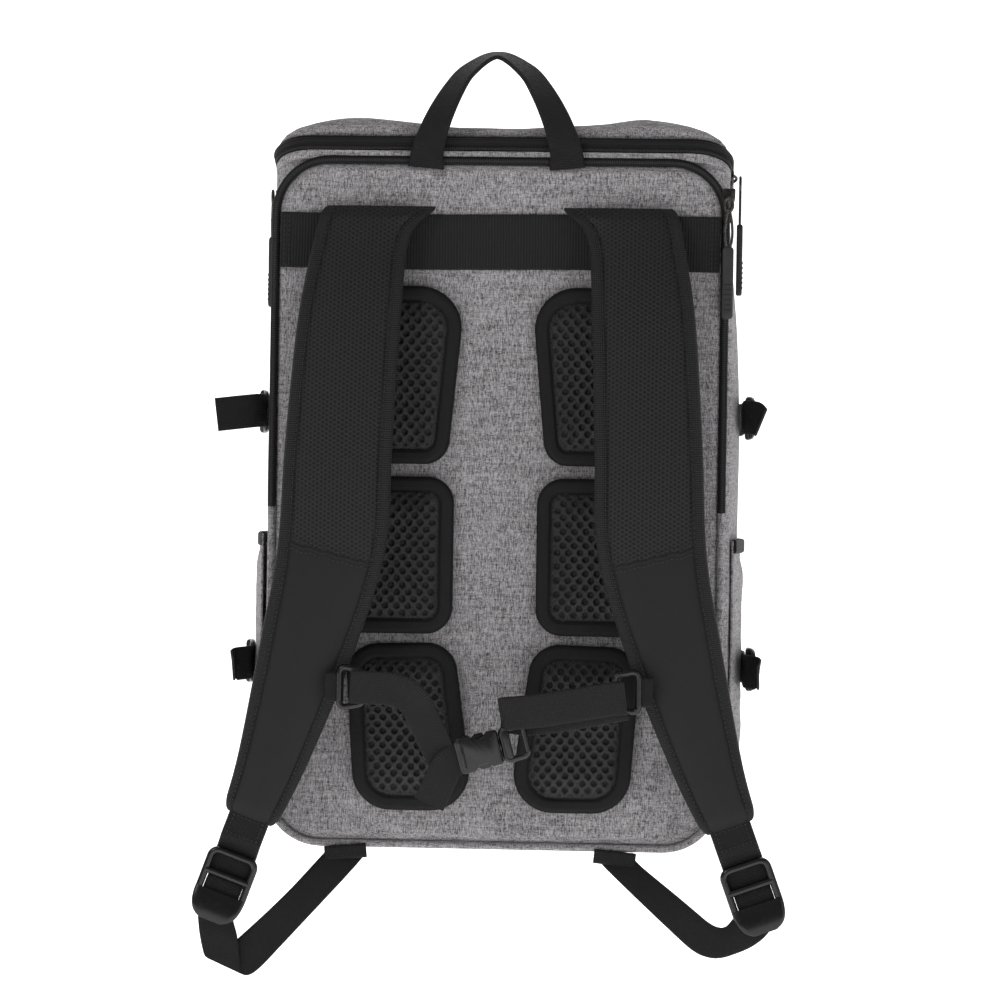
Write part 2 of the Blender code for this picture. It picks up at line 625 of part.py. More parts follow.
def zip_pull(name, material, hang, outward):
    """A pull hanging from its pivot: a narrow bail and a moulded tab in one piece."""
    across = Vector((0, 1, 0)) if abs(outward.y) < 0.5 else Vector((1, 0, 0))
    wire, tab = PULL_RING_WIRE, PULL_WIDTH / 2
    overlap = 0.004
    profile = [(wire, 0.0), (wire, -PULL_RING_LENGTH + overlap), (tab * 0.8, -PULL_RING_LENGTH),
               (tab, -PULL_RING_LENGTH - overlap), (tab, -PULL_RING_LENGTH - PULL_TAB_LENGTH + 0.003),
               (tab * 0.7, -PULL_RING_LENGTH - PULL_TAB_LENGTH)]
    thick = [wire, wire, PULL_THICKNESS / 2, PULL_THICKNESS / 2, PULL_THICKNESS / 2, PULL_THICKNESS / 3]
    rings = []
    for (half, drop), depth in zip(profile, thick):
        centre = hang + Vector((0, 0, drop))
        rings.append([centre + across * (a * half) + outward * (b * depth) for a, b in (
            (-1, -0.5), (-0.6, -1), (0.6, -1), (1, -0.5), (1, 0.5), (0.6, 1), (-0.6, 1), (-1, 0.5))])
    place(name, loft(rings), material, smooth=True)


def zip_runners(metal, rubber):
    """Four sliders, each with a pull hanging from it."""
    lift = SLIDER_THICKNESS + GAP
    half, wide = SLIDER_LENGTH / 2, SLIDER_WIDTH / 2
    spots = {
        "lid_left": (Vector((-SIDE, REAR + 0.070, zip_height(REAR + 0.070))), Vector((-1, 0, 0))),
        "lid_right": (Vector((SIDE, REAR + 0.040, zip_height(REAR + 0.040))), Vector((1, 0, 0))),
        "rear": (Vector((SIDE - EDGE_WIDTH / 2 + 0.002, REAR, 0.470)), Vector((0, -1, 0))),
        "front": (Vector((0.100, FRONT + POCKET_DEPTH, 0.325)), Vector((0, 1, 0))),
    }
    for name, (spot, outward) in spots.items():
        if abs(outward.x) > 0.5:
            along, across = Vector((0, math.cos(ZIP_SLOPE), -math.sin(ZIP_SLOPE))), None
            across = along.cross(outward)
        elif name == "rear":
            along, across = Vector((0, 0, 1)), Vector((1, 0, 0))
        else:
            along, across = Vector((1, 0, 0)), Vector((0, 0, 1))
        rings = []
        for depth, taper in ((GAP, 1.0), (SLIDER_THICKNESS * 0.6, 1.0), (SLIDER_THICKNESS, 0.7)):
            centre = spot + outward * depth
            rings.append([centre + along * (a * half * taper) + across * (b * wide * taper)
                          for a, b in ((-1, -0.5), (-0.6, -0.9), (1, -1), (1, 1), (-0.6, 0.9), (-1, 0.5))])
        place(f"zip_slider_{name}", loft(rings), metal)
        hang = spot + outward * (lift + PULL_THICKNESS / 2 + GAP)
        zip_pull(f"zip_pull_{name}", rubber, hang, outward)


def build():
    clear_scene()
    grey = finish("grey heather cloth", (0.27, 0.26, 0.265), 0.92)
    lining = finish("black lining", (0.03, 0.03, 0.032), 0.85)
    foam = finish("grey foam", (0.12, 0.12, 0.125), 0.95)
    board = finish("stiff sheet", (0.05, 0.05, 0.05), 0.5)
    webbing = finish("black webbing", (0.022, 0.022, 0.024), 0.75)
    mesh_black = finish("air mesh", (0.02, 0.02, 0.022), 0.6)
    padding = finish("embossed strap cloth", (0.028, 0.028, 0.031), 0.7)
    plastic = finish("black acetal", (0.02, 0.02, 0.022), 0.35)
    metal = finish("dark nickel", (0.20, 0.19, 0.18), 0.3, 1.0)
    rubber = finish("black rubber", (0.025, 0.025, 0.027), 0.55)
    body_walls(grey, lining, foam, board)
    zip_and_lid(grey, webbing)
    back_pads(mesh_black)
    trolley_band(webbing)
    shoulder_straps(padding, webbing, plastic)
    chest_strap(webbing, plastic)
    grab_handle(webbing)
    side_pockets(lining, webbing, plastic)
    front_pocket(grey)
    zip_runners(metal, rubber)


build()
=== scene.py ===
"""A drone carrying backpack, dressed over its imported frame: cloth, webbing, air mesh and plastics."""

import math

import bmesh
import bpy
import numpy as np
from mathutils import Matrix, Vector, noise


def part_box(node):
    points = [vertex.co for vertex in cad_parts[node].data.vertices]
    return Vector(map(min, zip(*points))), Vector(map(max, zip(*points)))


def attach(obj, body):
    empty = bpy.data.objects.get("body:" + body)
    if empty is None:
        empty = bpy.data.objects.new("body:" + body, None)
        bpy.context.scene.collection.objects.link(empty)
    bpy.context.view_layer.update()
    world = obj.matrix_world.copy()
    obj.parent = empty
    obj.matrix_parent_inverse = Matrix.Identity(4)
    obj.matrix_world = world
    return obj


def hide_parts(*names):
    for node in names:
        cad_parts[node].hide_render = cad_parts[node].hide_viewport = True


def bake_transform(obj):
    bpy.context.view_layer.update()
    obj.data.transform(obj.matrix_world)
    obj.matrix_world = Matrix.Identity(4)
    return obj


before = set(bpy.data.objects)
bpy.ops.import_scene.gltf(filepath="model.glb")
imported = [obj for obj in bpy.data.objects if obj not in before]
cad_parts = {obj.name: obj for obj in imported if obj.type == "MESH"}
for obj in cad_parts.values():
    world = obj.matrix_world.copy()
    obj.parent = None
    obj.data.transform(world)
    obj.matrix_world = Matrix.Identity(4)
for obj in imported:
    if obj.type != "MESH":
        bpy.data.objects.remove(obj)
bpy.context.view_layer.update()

# --- Studio ---------------------------------------------------------------------------------
# A pale sweep of paper, two large soft lamps and a long lens level with the bag's middle, as
# a shop photographs a bag that hangs from its handle.
camera_distance = 2.60
camera_turn = math.radians(2.9)
camera_lean = math.radians(0.9)
aim = Vector((0.0030, -0.095, 0.252))
camera_data = bpy.data.cameras.new("long lens")
camera_data.lens = 125
camera_data.sensor_width = 36
camera = bpy.data.objects.new("camera", camera_data)
bpy.context.scene.collection.objects.link(camera)
away = Vector((math.sin(camera_turn), -math.cos(camera_turn), 0))
camera.location = aim + away * (camera_distance - 0.1)
camera.rotation_mode = "QUATERNION"
camera.rotation_quaternion = ((-away).to_track_quat("-Z", "Y")
                              @ Matrix.Rotation(camera_lean, 3, "Z").to_quaternion())
bpy.context.scene.camera = camera

paper_drop = 0.115
paper = bmesh.new()
sweep = [(-6.0, -paper_drop), (1.6, -paper_drop)]
sweep += [(1.6 + 1.4 * math.sin(turn), 1.4 - paper_drop - 1.4 * math.cos(turn))
          for turn in np.linspace(0.1, math.pi / 2, 14)]
sweep += [(3.0, 6.0)]
edges = [[paper.verts.new((x, y, z)) for y, z in sweep] for x in (-7.0, 7.0)]
for near, far in zip(range(len(sweep) - 1), range(1, len(sweep))):
    paper.faces.new((edges[0][near], edges[1][near], edges[1][far], edges[0][far]))
paper_mesh = bpy.data.meshes.new("paper sweep")
paper.to_mesh(paper_mesh)
paper_mesh.shade_smooth()
paper_sweep = bpy.data.objects.new("paper_sweep", paper_mesh)
bpy.context.scene.collection.objects.link(paper_sweep)
paper_white = bpy.data.materials.new("white paper")
paper_white.use_nodes = True
paper_white.node_tree.nodes["Principled BSDF"].inputs["Base Color"].default_value = (0.93, 0.93, 0.93, 1)
paper_white.node_tree.nodes["Principled BSDF"].inputs["Roughness"].default_value = 0.9
paper_white.node_tree.nodes["Principled BSDF"].inputs["Emission Color"].default_value = (1, 1, 1, 1)
paper_white.node_tree.nodes["Principled BSDF"].inputs["Emission Strength"].default_value = 0.93
paper_mesh.materials.append(paper_white)

for lamp_name, place, size, watts in (("key lamp", (-1.7, -2.4, 1.9), 0.9, 19),
                                      ("fill lamp", (2.0, -2.2, 1.0), 1.5, 10),
                                      ("top lamp", (0.0, 0.6, 2.4), 1.6, 11)):
    lamp_data = bpy.data.lights.new(lamp_name, "AREA")
    lamp_data.energy = watts
    lamp_data.size = size
    lamp = bpy.data.objects.new(lamp_name, lamp_data)
    lamp.location = place
    lamp.rotation_mode = "QUATERNION"
    lamp.rotation_quaternion = (aim - Vector(place)).to_track_quat("-Z", "Y")
    bpy.context.scene.collection.objects.link(lamp)
sky = bpy.data.worlds.new("studio air")
sky.use_nodes = True
sky.node_tree.nodes["Background"].inputs["Color"].default_value = (1, 1, 1, 1)
sky.node_tree.nodes["Background"].inputs["Strength"].default_value = 0.14
bpy.context.scene.world = sky
bpy.context.scene.view_settings.view_transform = "Standard"


# --- Grey heather cloth and the body of the bag ---------------------------------------------
# The bag is sewn from a slubby grey melange canvas over foam: light and dark yarns show as
# short streaks both ways. The walls are one loft from the base seam up to the zip.
class Flow:
    """A socket in a finish: arithmetic on it adds Math nodes, and node() adds any other node."""

    def __init__(self, tree, socket=None):
        self.tree, self.socket = tree, socket

    def node(self, kind, settings, links, output=0):
        made = self.tree.nodes.new(kind)
        for key, value in settings.items():
            setattr(made, key, value)
        for key, value in links.items():
            if isinstance(value, Flow):
                self.tree.links.new(value.socket, made.inputs[key])
            else:
                made.inputs[key].default_value = value
        return Flow(self.tree, made.outputs[output])

    def sum(self, operation, *values):
        return self.node("ShaderNodeMath", {"operation": operation}, dict(enumerate(values)))

    def __add__(self, other):
        return self.sum("ADD", self, other)

    def __sub__(self, other):
        return self.sum("SUBTRACT", self, other)

    def __rsub__(self, other):
        return self.sum("SUBTRACT", other, self)

    def __mul__(self, other):
        return self.sum("MULTIPLY", self, other)

    def __gt__(self, other):
        return self.sum("GREATER_THAN", self, other)

    __radd__ = __add__
    __rmul__ = __mul__

    def wave(self, pitch):
        """A sine of this length, from -1 to 1."""
        return self.sum("SINE", self * (2 * math.pi / pitch))

    def yarn(self, stretch, detail=2.0):
        """Streaky noise; stretch gives how many streaks fit in a metre each way."""
        turned = self.node("ShaderNodeMapping", {}, {"Vector": self, "Scale": stretch})
        return self.node("ShaderNodeTexNoise", {}, {"Vector": turned, "Scale": 1.0,
                                                    "Detail": detail, "Roughness": 0.6})

    def spread(self, low, high, to_low=0.0, to_high=1.0):
        return self.node("ShaderNodeMapRange", {}, {"Value": self, "From Min": low, "From Max": high,
                                                    "To Min": to_low, "To Max": to_high})

    def tint(self, dark, light):
        """A colour between two, by this share."""
        return self.node("ShaderNodeMix", {"data_type": "RGBA"},
                         {0: self, 6: (*dark, 1), 7: (*light, 1)}, 2)

    def raised(self, depth, strength=1.0):
        return self.node("ShaderNodeBump", {}, {"Height": self, "Distance": depth, "Strength": strength})


def start_finish(name, coordinates, sheen=0.0, specular=0.5, metallic=0.0):
    """A new finish: the coordinates to draw on, and a function that feeds the shader."""
    made = bpy.data.materials.new(name)
    made.use_nodes = True
    tree = made.node_tree
    shader = tree.nodes["Principled BSDF"]
    shader.inputs["Sheen Weight"].default_value = sheen
    shader.inputs["Sheen Roughness"].default_value = 0.5
    shader.inputs["Specular IOR Level"].default_value = specular
    shader.inputs["Metallic"].default_value = metallic
    spot = Flow(tree, tree.nodes.new("ShaderNodeTexCoord").outputs[coordinates])

    def feed(colour, roughness, normal):
        for key, value in (("Base Color", colour), ("Roughness", roughness), ("Normal", normal)):
            if isinstance(value, Flow):
                tree.links.new(value.socket, shader.inputs[key])
            else:
                shader.inputs[key].default_value = value

    return made, spot, feed


def axes_of(spot):
    """The three numbers of a point."""
    return [spot.node("ShaderNodeSeparateXYZ", {}, {"Vector": spot}, output) for output in range(3)]


def heather_finish(name, dark=(0.040, 0.038, 0.040), light=(0.52, 0.50, 0.515)):
    made, spot, feed = start_finish(name, "Object", sheen=0.08, specular=0.2)
    weft = spot.yarn((380, 380, 2100), 3.0)
    warp = spot.yarn((2100, 2100, 310), 3.0)
    slub = spot.yarn((70, 70, 640), 3.0)
    cloud = spot.yarn((16, 16, 16), 3.0)
    streaks = weft * 0.34 + warp * 0.48 + slub * 0.18
    share = streaks.spread(0.40, 0.60) * (cloud * 0.20 + 0.88)
    feed(share.tint(dark, light), warp.spread(0.3, 0.7, 0.86, 1.0),
         (weft + warp * 0.8 + slub * 0.5).raised(0.0004, 0.5))
    return made


def sewn(name, rows, finish, around=False, capped=False, wall=0.0):
    """A piece from rows of points, with a UV map in metres: u along a row, v from row to row."""
    rows = np.asarray(rows, float)
    count, width, _ = rows.shape
    across = np.roll(rows, -1, axis=1) - rows if around else np.diff(rows, axis=1)
    u = np.concatenate(([0], np.cumsum(np.linalg.norm(across, axis=2).mean(0))))
    v = np.concatenate(([0], np.cumsum(np.linalg.norm(np.diff(rows, axis=0), axis=2).mean(1))))
    columns = width if around else width - 1
    faces, corners = [], []
    for row in range(count - 1):
        for column in range(columns):
            after = (column + 1) % width
            faces.append((row * width + column, row * width + after,
                          (row + 1) * width + after, (row + 1) * width + column))
            corners += [(u[column], v[row]), (u[column + 1], v[row]),
                        (u[column + 1], v[row + 1]), (u[column], v[row + 1])]
    if capped:
        faces.append(tuple(range(width))[::-1])
        faces.append(tuple((count - 1) * width + column for column in range(width)))
        corners += [(u[column], v[0]) for column in range(width)][::-1]
        corners += [(u[column], v[-1]) for column in range(width)]
    mesh = bpy.data.meshes.new(name)
    mesh.from_pydata(rows.reshape(-1, 3).tolist(), [], faces)
    mesh.uv_layers.new(name="cloth").data.foreach_set("uv", np.array(corners, np.float32).ravel())
    shape = bmesh.new()
    shape.from_mesh(mesh)
    bmesh.ops.remove_doubles(shape, verts=shape.verts, dist=1e-6)
    if around and capped and shape.calc_volume(signed=True) < 0:
        bmesh.ops.reverse_faces(shape, faces=shape.faces)
    shape.to_mesh(mesh)
    shape.free()
    mesh.shade_smooth()
    mesh.set_sharp_from_angle(angle=math.radians(48))
    mesh.materials.append(finish)
    made = bpy.data.objects.new(name, mesh)
    bpy.context.scene.collection.objects.link(made)
    if wall:
        thickness = made.modifiers.new("cloth thickness", "SOLIDIFY")
        thickness.thickness = wall
        thickness.offset = -1
    return made


def sew_on(made, body, material_slot, *nodes):
    """Fix a finished piece to its body and let it stand for its plain solids."""
    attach(made, body)
    if nodes:
        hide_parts(*nodes)
    return made


def corner_box(half_x, low, high, radii, count=12):
    """A closed outline in a plane: a box with its own corner radii, from the low right corner on."""
    outline = []
    spots = ((half_x, low, -90, radii[0]), (half_x, high, 0, radii[1]),
             (-half_x, high, 90, radii[1]), (-half_x, low, 180, radii[0]))
    for x, y, start, radius in spots:
        centre = (x - math.copysign(radius, x), y + (radius if y == low else -radius))
        for step in range(count + 1):
            angle = math.radians(start + 90 * step / count)
            outline.append((centre[0] + radius * math.cos(angle), centre[1] + radius * math.sin(angle)))
    return np.array(outline)


def even_line(points, count, closed=False):
    """The same line through evenly spaced points."""
    points = np.asarray(points, float)
    if closed:
        points = np.vstack([points, points[:1]])
    run = np.concatenate(([0], np.cumsum(np.linalg.norm(np.diff(points, axis=0), axis=1))))
    wanted = np.linspace(0, run[-1], count + 1 if closed else count)
    line = np.stack([np.interp(wanted, run, points[:, k]) for k in range(points.shape[1])], axis=1)
    return line[:-1] if closed else line


def soft_line(points, count):
    """A smooth curve through given points, evenly spaced."""
    points = np.asarray(points, float)
    padded = np.vstack([2 * points[0] - points[1], points, 2 * points[-1] - points[-2]])
    t = np.linspace(0, 1, 16, endpoint=False)[:, None]
    curve = [0.5 * (2 * b + (c - a) * t + (2 * a - 5 * b + 4 * c - d) * t ** 2
                    + (3 * b - a - 3 * c + d) * t ** 3)
             for a, b, c, d in zip(padded, padded[1:], padded[2:], padded[3:])]
    return even_line(np.vstack(curve + [points[-1:]]), count)


def rumple(point, scale, seed):
    """Smooth noise from -1 to 1 for the soft creases of cloth."""
    return noise.noise(Vector(point) / scale + Vector((seed, 2 * seed, 0)))


grey_cloth = heather_finish("grey heather cloth")
gusset_low, gusset_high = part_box("gusset_right")
front_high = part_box("front_panel")[1]
tape_low, tape_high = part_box("body_zip_tape")
panel_low, panel_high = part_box("back_panel")
side = gusset_high.x
zip_slope = math.radians(20)
zip_rear = tape_high.z
zip_rear_y = tape_low.y


def zip_height(y):
    """Height of the zip's parting line, which slopes down to the front."""
    return zip_rear - (y - zip_rear_y) * math.tan(zip_slope)


wall_bulge = {-1: 0.0055, 1: 0.0100}
wall_thickness, floor_thickness, base_corner = 0.0055, 0.0079, 0.042
wall_points = 300
shell_rear = gusset_low.y - 0.004
plan = even_line(corner_box(side, shell_rear, front_high.y, (0.010, 0.014)), wall_points, True)
top_plan = even_line(corner_box(side, shell_rear, front_high.y, (0.024, 0.027)), wall_points, True)
inner_plan = even_line(corner_box(side - wall_thickness, shell_rear + wall_thickness,
                                  front_high.y - wall_thickness, (0.019, 0.022)), wall_points, True)
centre_y = (shell_rear + front_high.y) / 2


def smooth_step(values, low, high):
    share = np.clip((values - low) / (high - low), 0, 1)
    return share * share * (3 - 2 * share)


def bulge_at(mirror, y, z):
    """How far a side wall swells out past its flat shape."""
    along = math.sin(math.pi * min(1.0, max(0.0, (y - shell_rear) / (front_high.y - shell_rear)))) ** 0.7
    rise = float(smooth_step(z, base_corner, 0.14)) * float(smooth_step(zip_height(y) - z, 0.0, 0.15))
    return wall_bulge[mirror] * along * rise


def width_share(z, corner, half):
    """The base's rounded corners narrow the walls near the floor."""
    short = max(0.0, corner - z)
    return (half - corner + math.sqrt(corner ** 2 - short ** 2)) / half


shell_rows = []
for share in (0.0, 0.35, 0.7, 0.93):
    shell_rows.append([(x * share * width_share(0, base_corner, side), centre_y + (y - centre_y) * share, 0.0)
                       for x, y in plan])
turns = np.linspace(0.06, math.pi / 2, 16)
low_heights = [base_corner * (1 - math.cos(turn)) for turn in turns]
for height in low_heights + [base_corner + share for share in np.linspace(0.01, 1, 52)]:
    row = []
    for (low_x, low_y), (top_x, top_y) in zip(plan, top_plan):
        top = zip_height(low_y) - 0.0035
        z = height if height <= base_corner else base_corner + (top - base_corner) * (height - base_corner)
        rounder = float(smooth_step(z, 0.402, 0.438))
        x, y = low_x + (top_x - low_x) * rounder, low_y + (top_y - low_y) * rounder
        mirror = 1 if x > 0 else -1
        corner_share = float(smooth_step(abs(x), side - 0.014, side))
        push = (bulge_at(mirror, y, z) + 0.0012 * rumple((x, y, z), 0.045, 3)) * corner_share
        foot = 0.004 * (1 - min(1.0, z / 0.010)) ** 2
        row.append((x * width_share(z, base_corner, side) + mirror * push,
                    y - math.copysign(foot, y - centre_y), z))
    shell_rows.append(row)
inner_corner = base_corner - floor_thickness
for height in (1.0, 0.9, 0.5, 0.15):
    shell_rows.append([(x, y, base_corner + (zip_height(y) - 0.0035 - base_corner) * height)
                       for x, y in inner_plan])
for turn in np.linspace(math.pi / 2, 0.1, 8):
    z = floor_thickness + inner_corner * (1 - math.cos(turn))
    narrow = width_share(z - floor_thickness, inner_corner, side - wall_thickness)
    shell_rows.append([(x * narrow, y, z) for x, y in inner_plan])
shell_rows.append([(x * 0.4, centre_y + (y - centre_y) * 0.5, floor_thickness) for x, y in inner_plan])
bag_walls = sewn("bag_walls", shell_rows, grey_cloth, around=True, capped=True)
sew_on(bag_walls, "bag", "grey_heather_cloth", "gusset_left", "gusset_right", "front_panel", "base_panel")

# --- Back panel -----------------------------------------------------------------------------
# A foam board in the same cloth, edge-bound: a black coil zip runs round its upper half and a
# cord piping in grey round the lower half, where the panel stays sewn.
edge_low, edge_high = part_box("panel_edge")
edge_width = panel_low.x - edge_low.x
panel_corner = 0.042


def pillow_rows(outline, levels, face, towards=-1.0):
    """Rows of a padded slab: each level is (inset, height over the face), from rim to middle."""
    outline = np.asarray(outline, float)
    middle = (outline.max(0) + outline.min(0)) / 2
    reach = np.linalg.norm(outline - middle, axis=1)
    rows = []
    for inset, height in levels:
        share = np.clip(1 - inset / reach, 0.0, 1.0)[:, None]
        flat = middle + (outline - middle) * share
        rows.append([(a, face + towards * height, b) for a, b in flat])
    return rows


panel_outline = even_line(corner_box(panel_high.x + 0.0012, panel_low.z - 0.0012, panel_high.z + 0.0012,
                                     (panel_corner - edge_width, panel_corner - edge_width)), 420, True)
rim_turn = 0.007
panel_levels = [(0.0, -0.010), (0.0, -0.0045)]
panel_levels += [(rim_turn * share, -0.0035 * (1 - share) ** 2) for share in np.linspace(0.05, 1, 7)]
panel_levels += [(inset, 0.0) for inset in (0.012, 0.02, 0.035, 0.06, 0.09, 0.12)]
back_panel = sewn("back_panel_cloth", pillow_rows(panel_outline, panel_levels, panel_low.y),
                  grey_cloth, around=True, capped=True)
sew_on(back_panel, "bag", "grey_heather_cloth", "back_panel")


def tube_rows(line, radius_a, radius_b, upright, closed=False, sides=12):
    """Rows of a cord along a line; upright is the direction of its second radius."""
    line = np.asarray(line, float)
    ahead = np.roll(line, -1, 0) - np.roll(line, 1, 0) if closed else np.gradient(line, axis=0)
    ahead /= np.linalg.norm(ahead, axis=1)[:, None]
    upright = np.broadcast_to(np.asarray(upright, float), line.shape)
    upright = upright - (upright * ahead).sum(1)[:, None] * ahead
    upright = upright / np.linalg.norm(upright, axis=1)[:, None]
    level = np.cross(ahead, upright)
    rows = [[point + l * (radius_a * math.cos(a)) + u * (radius_b * math.sin(a))
             for a in np.linspace(0, 2 * math.pi, sides, endpoint=False)]
            for point, l, u in zip(line, level, upright)]
    return rows + rows[:1] if closed else rows


def coil_tree():
    """Geometry Nodes: one small rounded bead at even steps along each line, turned to follow it."""
    tree = bpy.data.node_groups.new("beads along a line", "GeometryNodeTree")
    for label, kind in (("Line", "Geometry"), ("Pitch", "Float"), ("Bead Size", "Vector"),
                        ("Upright", "Vector"), ("Finish", "Material")):
        tree.interface.new_socket(label, in_out="INPUT", socket_type=f"NodeSocket{kind}")
    tree.interface.new_socket("Beads", in_out="OUTPUT", socket_type="NodeSocketGeometry")
    made = {}
    for label, kind in (("start", "NodeGroupInput"), ("curve", "GeometryNodeMeshToCurve"),
                        ("even", "GeometryNodeResampleCurve"), ("ahead", "GeometryNodeInputTangent"),
                        ("turn", "FunctionNodeAlignRotationToVector"),
                        ("stand", "FunctionNodeAlignRotationToVector"),
                        ("bead", "GeometryNodeMeshUVSphere"), ("copies", "GeometryNodeInstanceOnPoints"),
                        ("real", "GeometryNodeRealizeInstances"), ("smooth", "GeometryNodeSetShadeSmooth"),
                        ("finish", "GeometryNodeSetMaterial"), ("end", "NodeGroupOutput")):
        made[label] = tree.nodes.new(kind)
    made["even"].mode = "LENGTH"
    made["turn"].axis = "X"
    made["stand"].axis = "Z"
    made["stand"].pivot_axis = "X"
    made["bead"].inputs["Segments"].default_value = 8
    made["bead"].inputs["Rings"].default_value = 5
    made["bead"].inputs["Radius"].default_value = 0.5
    for source, output, target, entry in (
            ("start", "Line", "curve", "Mesh"), ("curve", "Curve", "even", "Curve"),
            ("start", "Pitch", "even", "Length"), ("even", "Curve", "copies", "Points"),
            ("bead", "Mesh", "copies", "Instance"), ("start", "Bead Size", "copies", "Scale"),
            ("ahead", "Tangent", "turn", "Vector"), ("turn", "Rotation", "stand", "Rotation"),
            ("start", "Upright", "stand", "Vector"), ("stand", "Rotation", "copies", "Rotation"),
            ("copies", "Instances", "real", "Geometry"), ("real", "Geometry", "smooth", "Geometry"),
            ("smooth", "Geometry", "finish", "Geometry"), ("start", "Finish", "finish", "Material"),
            ("finish", "Geometry", "end", "Beads")):
        tree.links.new(made[source].outputs[output], made[target].inputs[entry])
    return tree


beads_along = coil_tree()


def beaded(name, lines, pitch, size, upright, finish):
    """Zip teeth or stitches: beads of a size at a pitch along one line or several."""
    mesh = bpy.data.meshes.new(name)
    points, joined = [], []
    for line in lines:
        first = len(points)
        points += [tuple(point) for point in line]
        joined += [(first + step, first + step + 1) for step in range(len(line) - 1)]
    mesh.from_pydata(points, joined, [])
    guide = bpy.data.objects.new(name + " guide", mesh)
    bpy.context.scene.collection.objects.link(guide)
    repeat = guide.modifiers.new("beads", "NODES")
    repeat.node_group = beads_along
    wanted = {"Pitch": pitch, "Bead Size": size, "Upright": upright, "Finish": finish}
    for item in beads_along.interface.items_tree:
        if item.in_out == "INPUT" and item.name in wanted:
            repeat[item.identifier] = wanted[item.name]
    guide.update_tag()
    evaluated = guide.evaluated_get(bpy.context.evaluated_depsgraph_get())
    made = bpy.data.objects.new(name, bpy.data.meshes.new_from_object(evaluated))
    bpy.context.scene.collection.objects.link(made)
    bpy.data.objects.remove(guide)
    return made


def zip_tape_finish(name):
    """Woven polyester tape: fine ribs along its length."""
    made, spot, feed = start_finish(name, "UV", sheen=0.01, specular=0.2)
    u, v, _ = axes_of(spot)
    weave_and_groove_shade = u.wave(0.0009) * 0.6 + v.wave(0.0007) * 0.4
    # The colour follows the ribs: painted shade in the grooves between them and lighter rib tops.
    feed(weave_and_groove_shade.spread(-1, 1).tint((0.003, 0.003, 0.003), (0.016, 0.016, 0.017)),
         weave_and_groove_shade.spread(-1, 1, 0.6, 0.8), weave_and_groove_shade.raised(0.0002, 0.6))
    return made


def nylon_finish(name):
    """The moulded nylon of zip teeth and thread: plain, a little glossy, with fine flecks."""
    made, spot, feed = start_finish(name, "Object", specular=0.5)
    fleck = spot.yarn((900, 900, 900))
    feed(fleck.tint((0.010, 0.010, 0.011), (0.034, 0.034, 0.037)), fleck.spread(0.3, 0.7, 0.34, 0.5),
         fleck.raised(0.0001, 0.3))
    return made


zip_tape = zip_tape_finish("black zip tape")
zip_nylon = nylon_finish("black zip nylon")
edge_line = even_line(corner_box(edge_high.x - edge_width * 0.45, edge_low.z + edge_width * 0.45,
                                 edge_high.z - edge_width * 0.45, (panel_corner - 0.003,) * 2),
                      700, True)
edge_line = np.stack([edge_line[:, 0], np.full(len(edge_line), edge_low.y + 0.0015), edge_line[:, 1]], 1)
zip_end = 0.243
above = edge_line[:, 2] > zip_end
first_above = int(np.argmax(above & (edge_line[:, 0] > 0)))
ordered = np.roll(edge_line, -first_above, axis=0)
count_above = int((ordered[:, 2] > zip_end).sum())
zip_line, piping_line = ordered[:count_above], np.vstack([ordered[count_above - 1:], ordered[:1]])
rear_zip = sewn("rear_zip_tape", tube_rows(zip_line, 0.0030, 0.0026, (0, -1, 0)), zip_tape,
                around=True, capped=True)
sew_on(rear_zip, "bag", "black_lining", "panel_edge")
piping_tube = sewn("rear_piping", tube_rows(piping_line, 0.0027, 0.0027, (0, -1, 0)), grey_cloth,
                   around=True, capped=True)
sew_on(piping_tube, "bag", "grey_heather_cloth")
coil_line = zip_line + np.array([0, -0.0024, 0])
rear_coil = beaded("rear_zip_coil", [coil_line], 0.0013, (0.0009, 0.0030, 0.0012), (0, -1, 0), zip_nylon)
sew_on(rear_coil, "bag", "black_lining")

# --- Lid ------------------------------------------------------------------------------------
# The lid is a padded cloth cap that puffs up over its foam in two soft humps. A coil zip and a
# corded black binding run round it, above a narrow cloth collar on the bag.
plan_corner = 0.028
rim_points = 260
rim = even_line(corner_box(side, zip_rear_y, front_high.y, (plan_corner, plan_corner)), rim_points, True)
rim_centre = np.array([0.0, (zip_rear_y + front_high.y) / 2])
band_height = 0.0100


def rim_rows(levels):
    """Rows round the zip's outline; each level is (set out, height over the zip)."""
    rows = []
    outward = rim - rim_centre
    outward /= np.abs(outward).max(1)[:, None]
    outward /= np.linalg.norm(outward, axis=1)[:, None]
    for out, height in levels:
        flat = rim + outward * out
        rows.append([(x, y, zip_height(y) + height) for x, y in flat])
    return rows


collar = sewn("collar_cloth", rim_rows([(-0.004, -0.006), (0.0002, -0.0064), (0.0008, -0.004),
                                        (0.0008, -0.0016), (0.0002, -0.0004), (-0.0028, -0.0004),
                                        (-0.004, -0.006)]), grey_cloth, around=True)
sew_on(collar, "bag", "grey_heather_cloth", "body_zip_tape")
band = sewn("lid_zip_tape", rim_rows([(-0.003, 0.0008), (0.0004, 0.0004), (0.0006, 0.0018),
                                      (0.0002, 0.0034), (0.0010, 0.0052), (0.0006, band_height),
                                      (-0.003, band_height), (-0.003, 0.0008)]), zip_tape, around=True)
sew_on(band, "lid", "black_webbing", "lid_zip_band")
lid_cord_line = np.array(rim_rows([(0.0008, 0.0066)])[0])
lid_cord = sewn("lid_binding_cord", tube_rows(lid_cord_line, 0.0021, 0.0021, (0, 0, 1), closed=True),
                zip_tape, around=True)
sew_on(lid_cord, "lid", "black_webbing")
lid_coil_line = np.array(rim_rows([(0.0009, 0.0014)])[0])
lid_coil = beaded("lid_zip_coil", [np.vstack([lid_coil_line, lid_coil_line[:1]])], 0.0013,
                  (0.0009, 0.0013, 0.0026), (0, 0, 1), zip_nylon)
sew_on(lid_coil, "lid", "black_webbing")

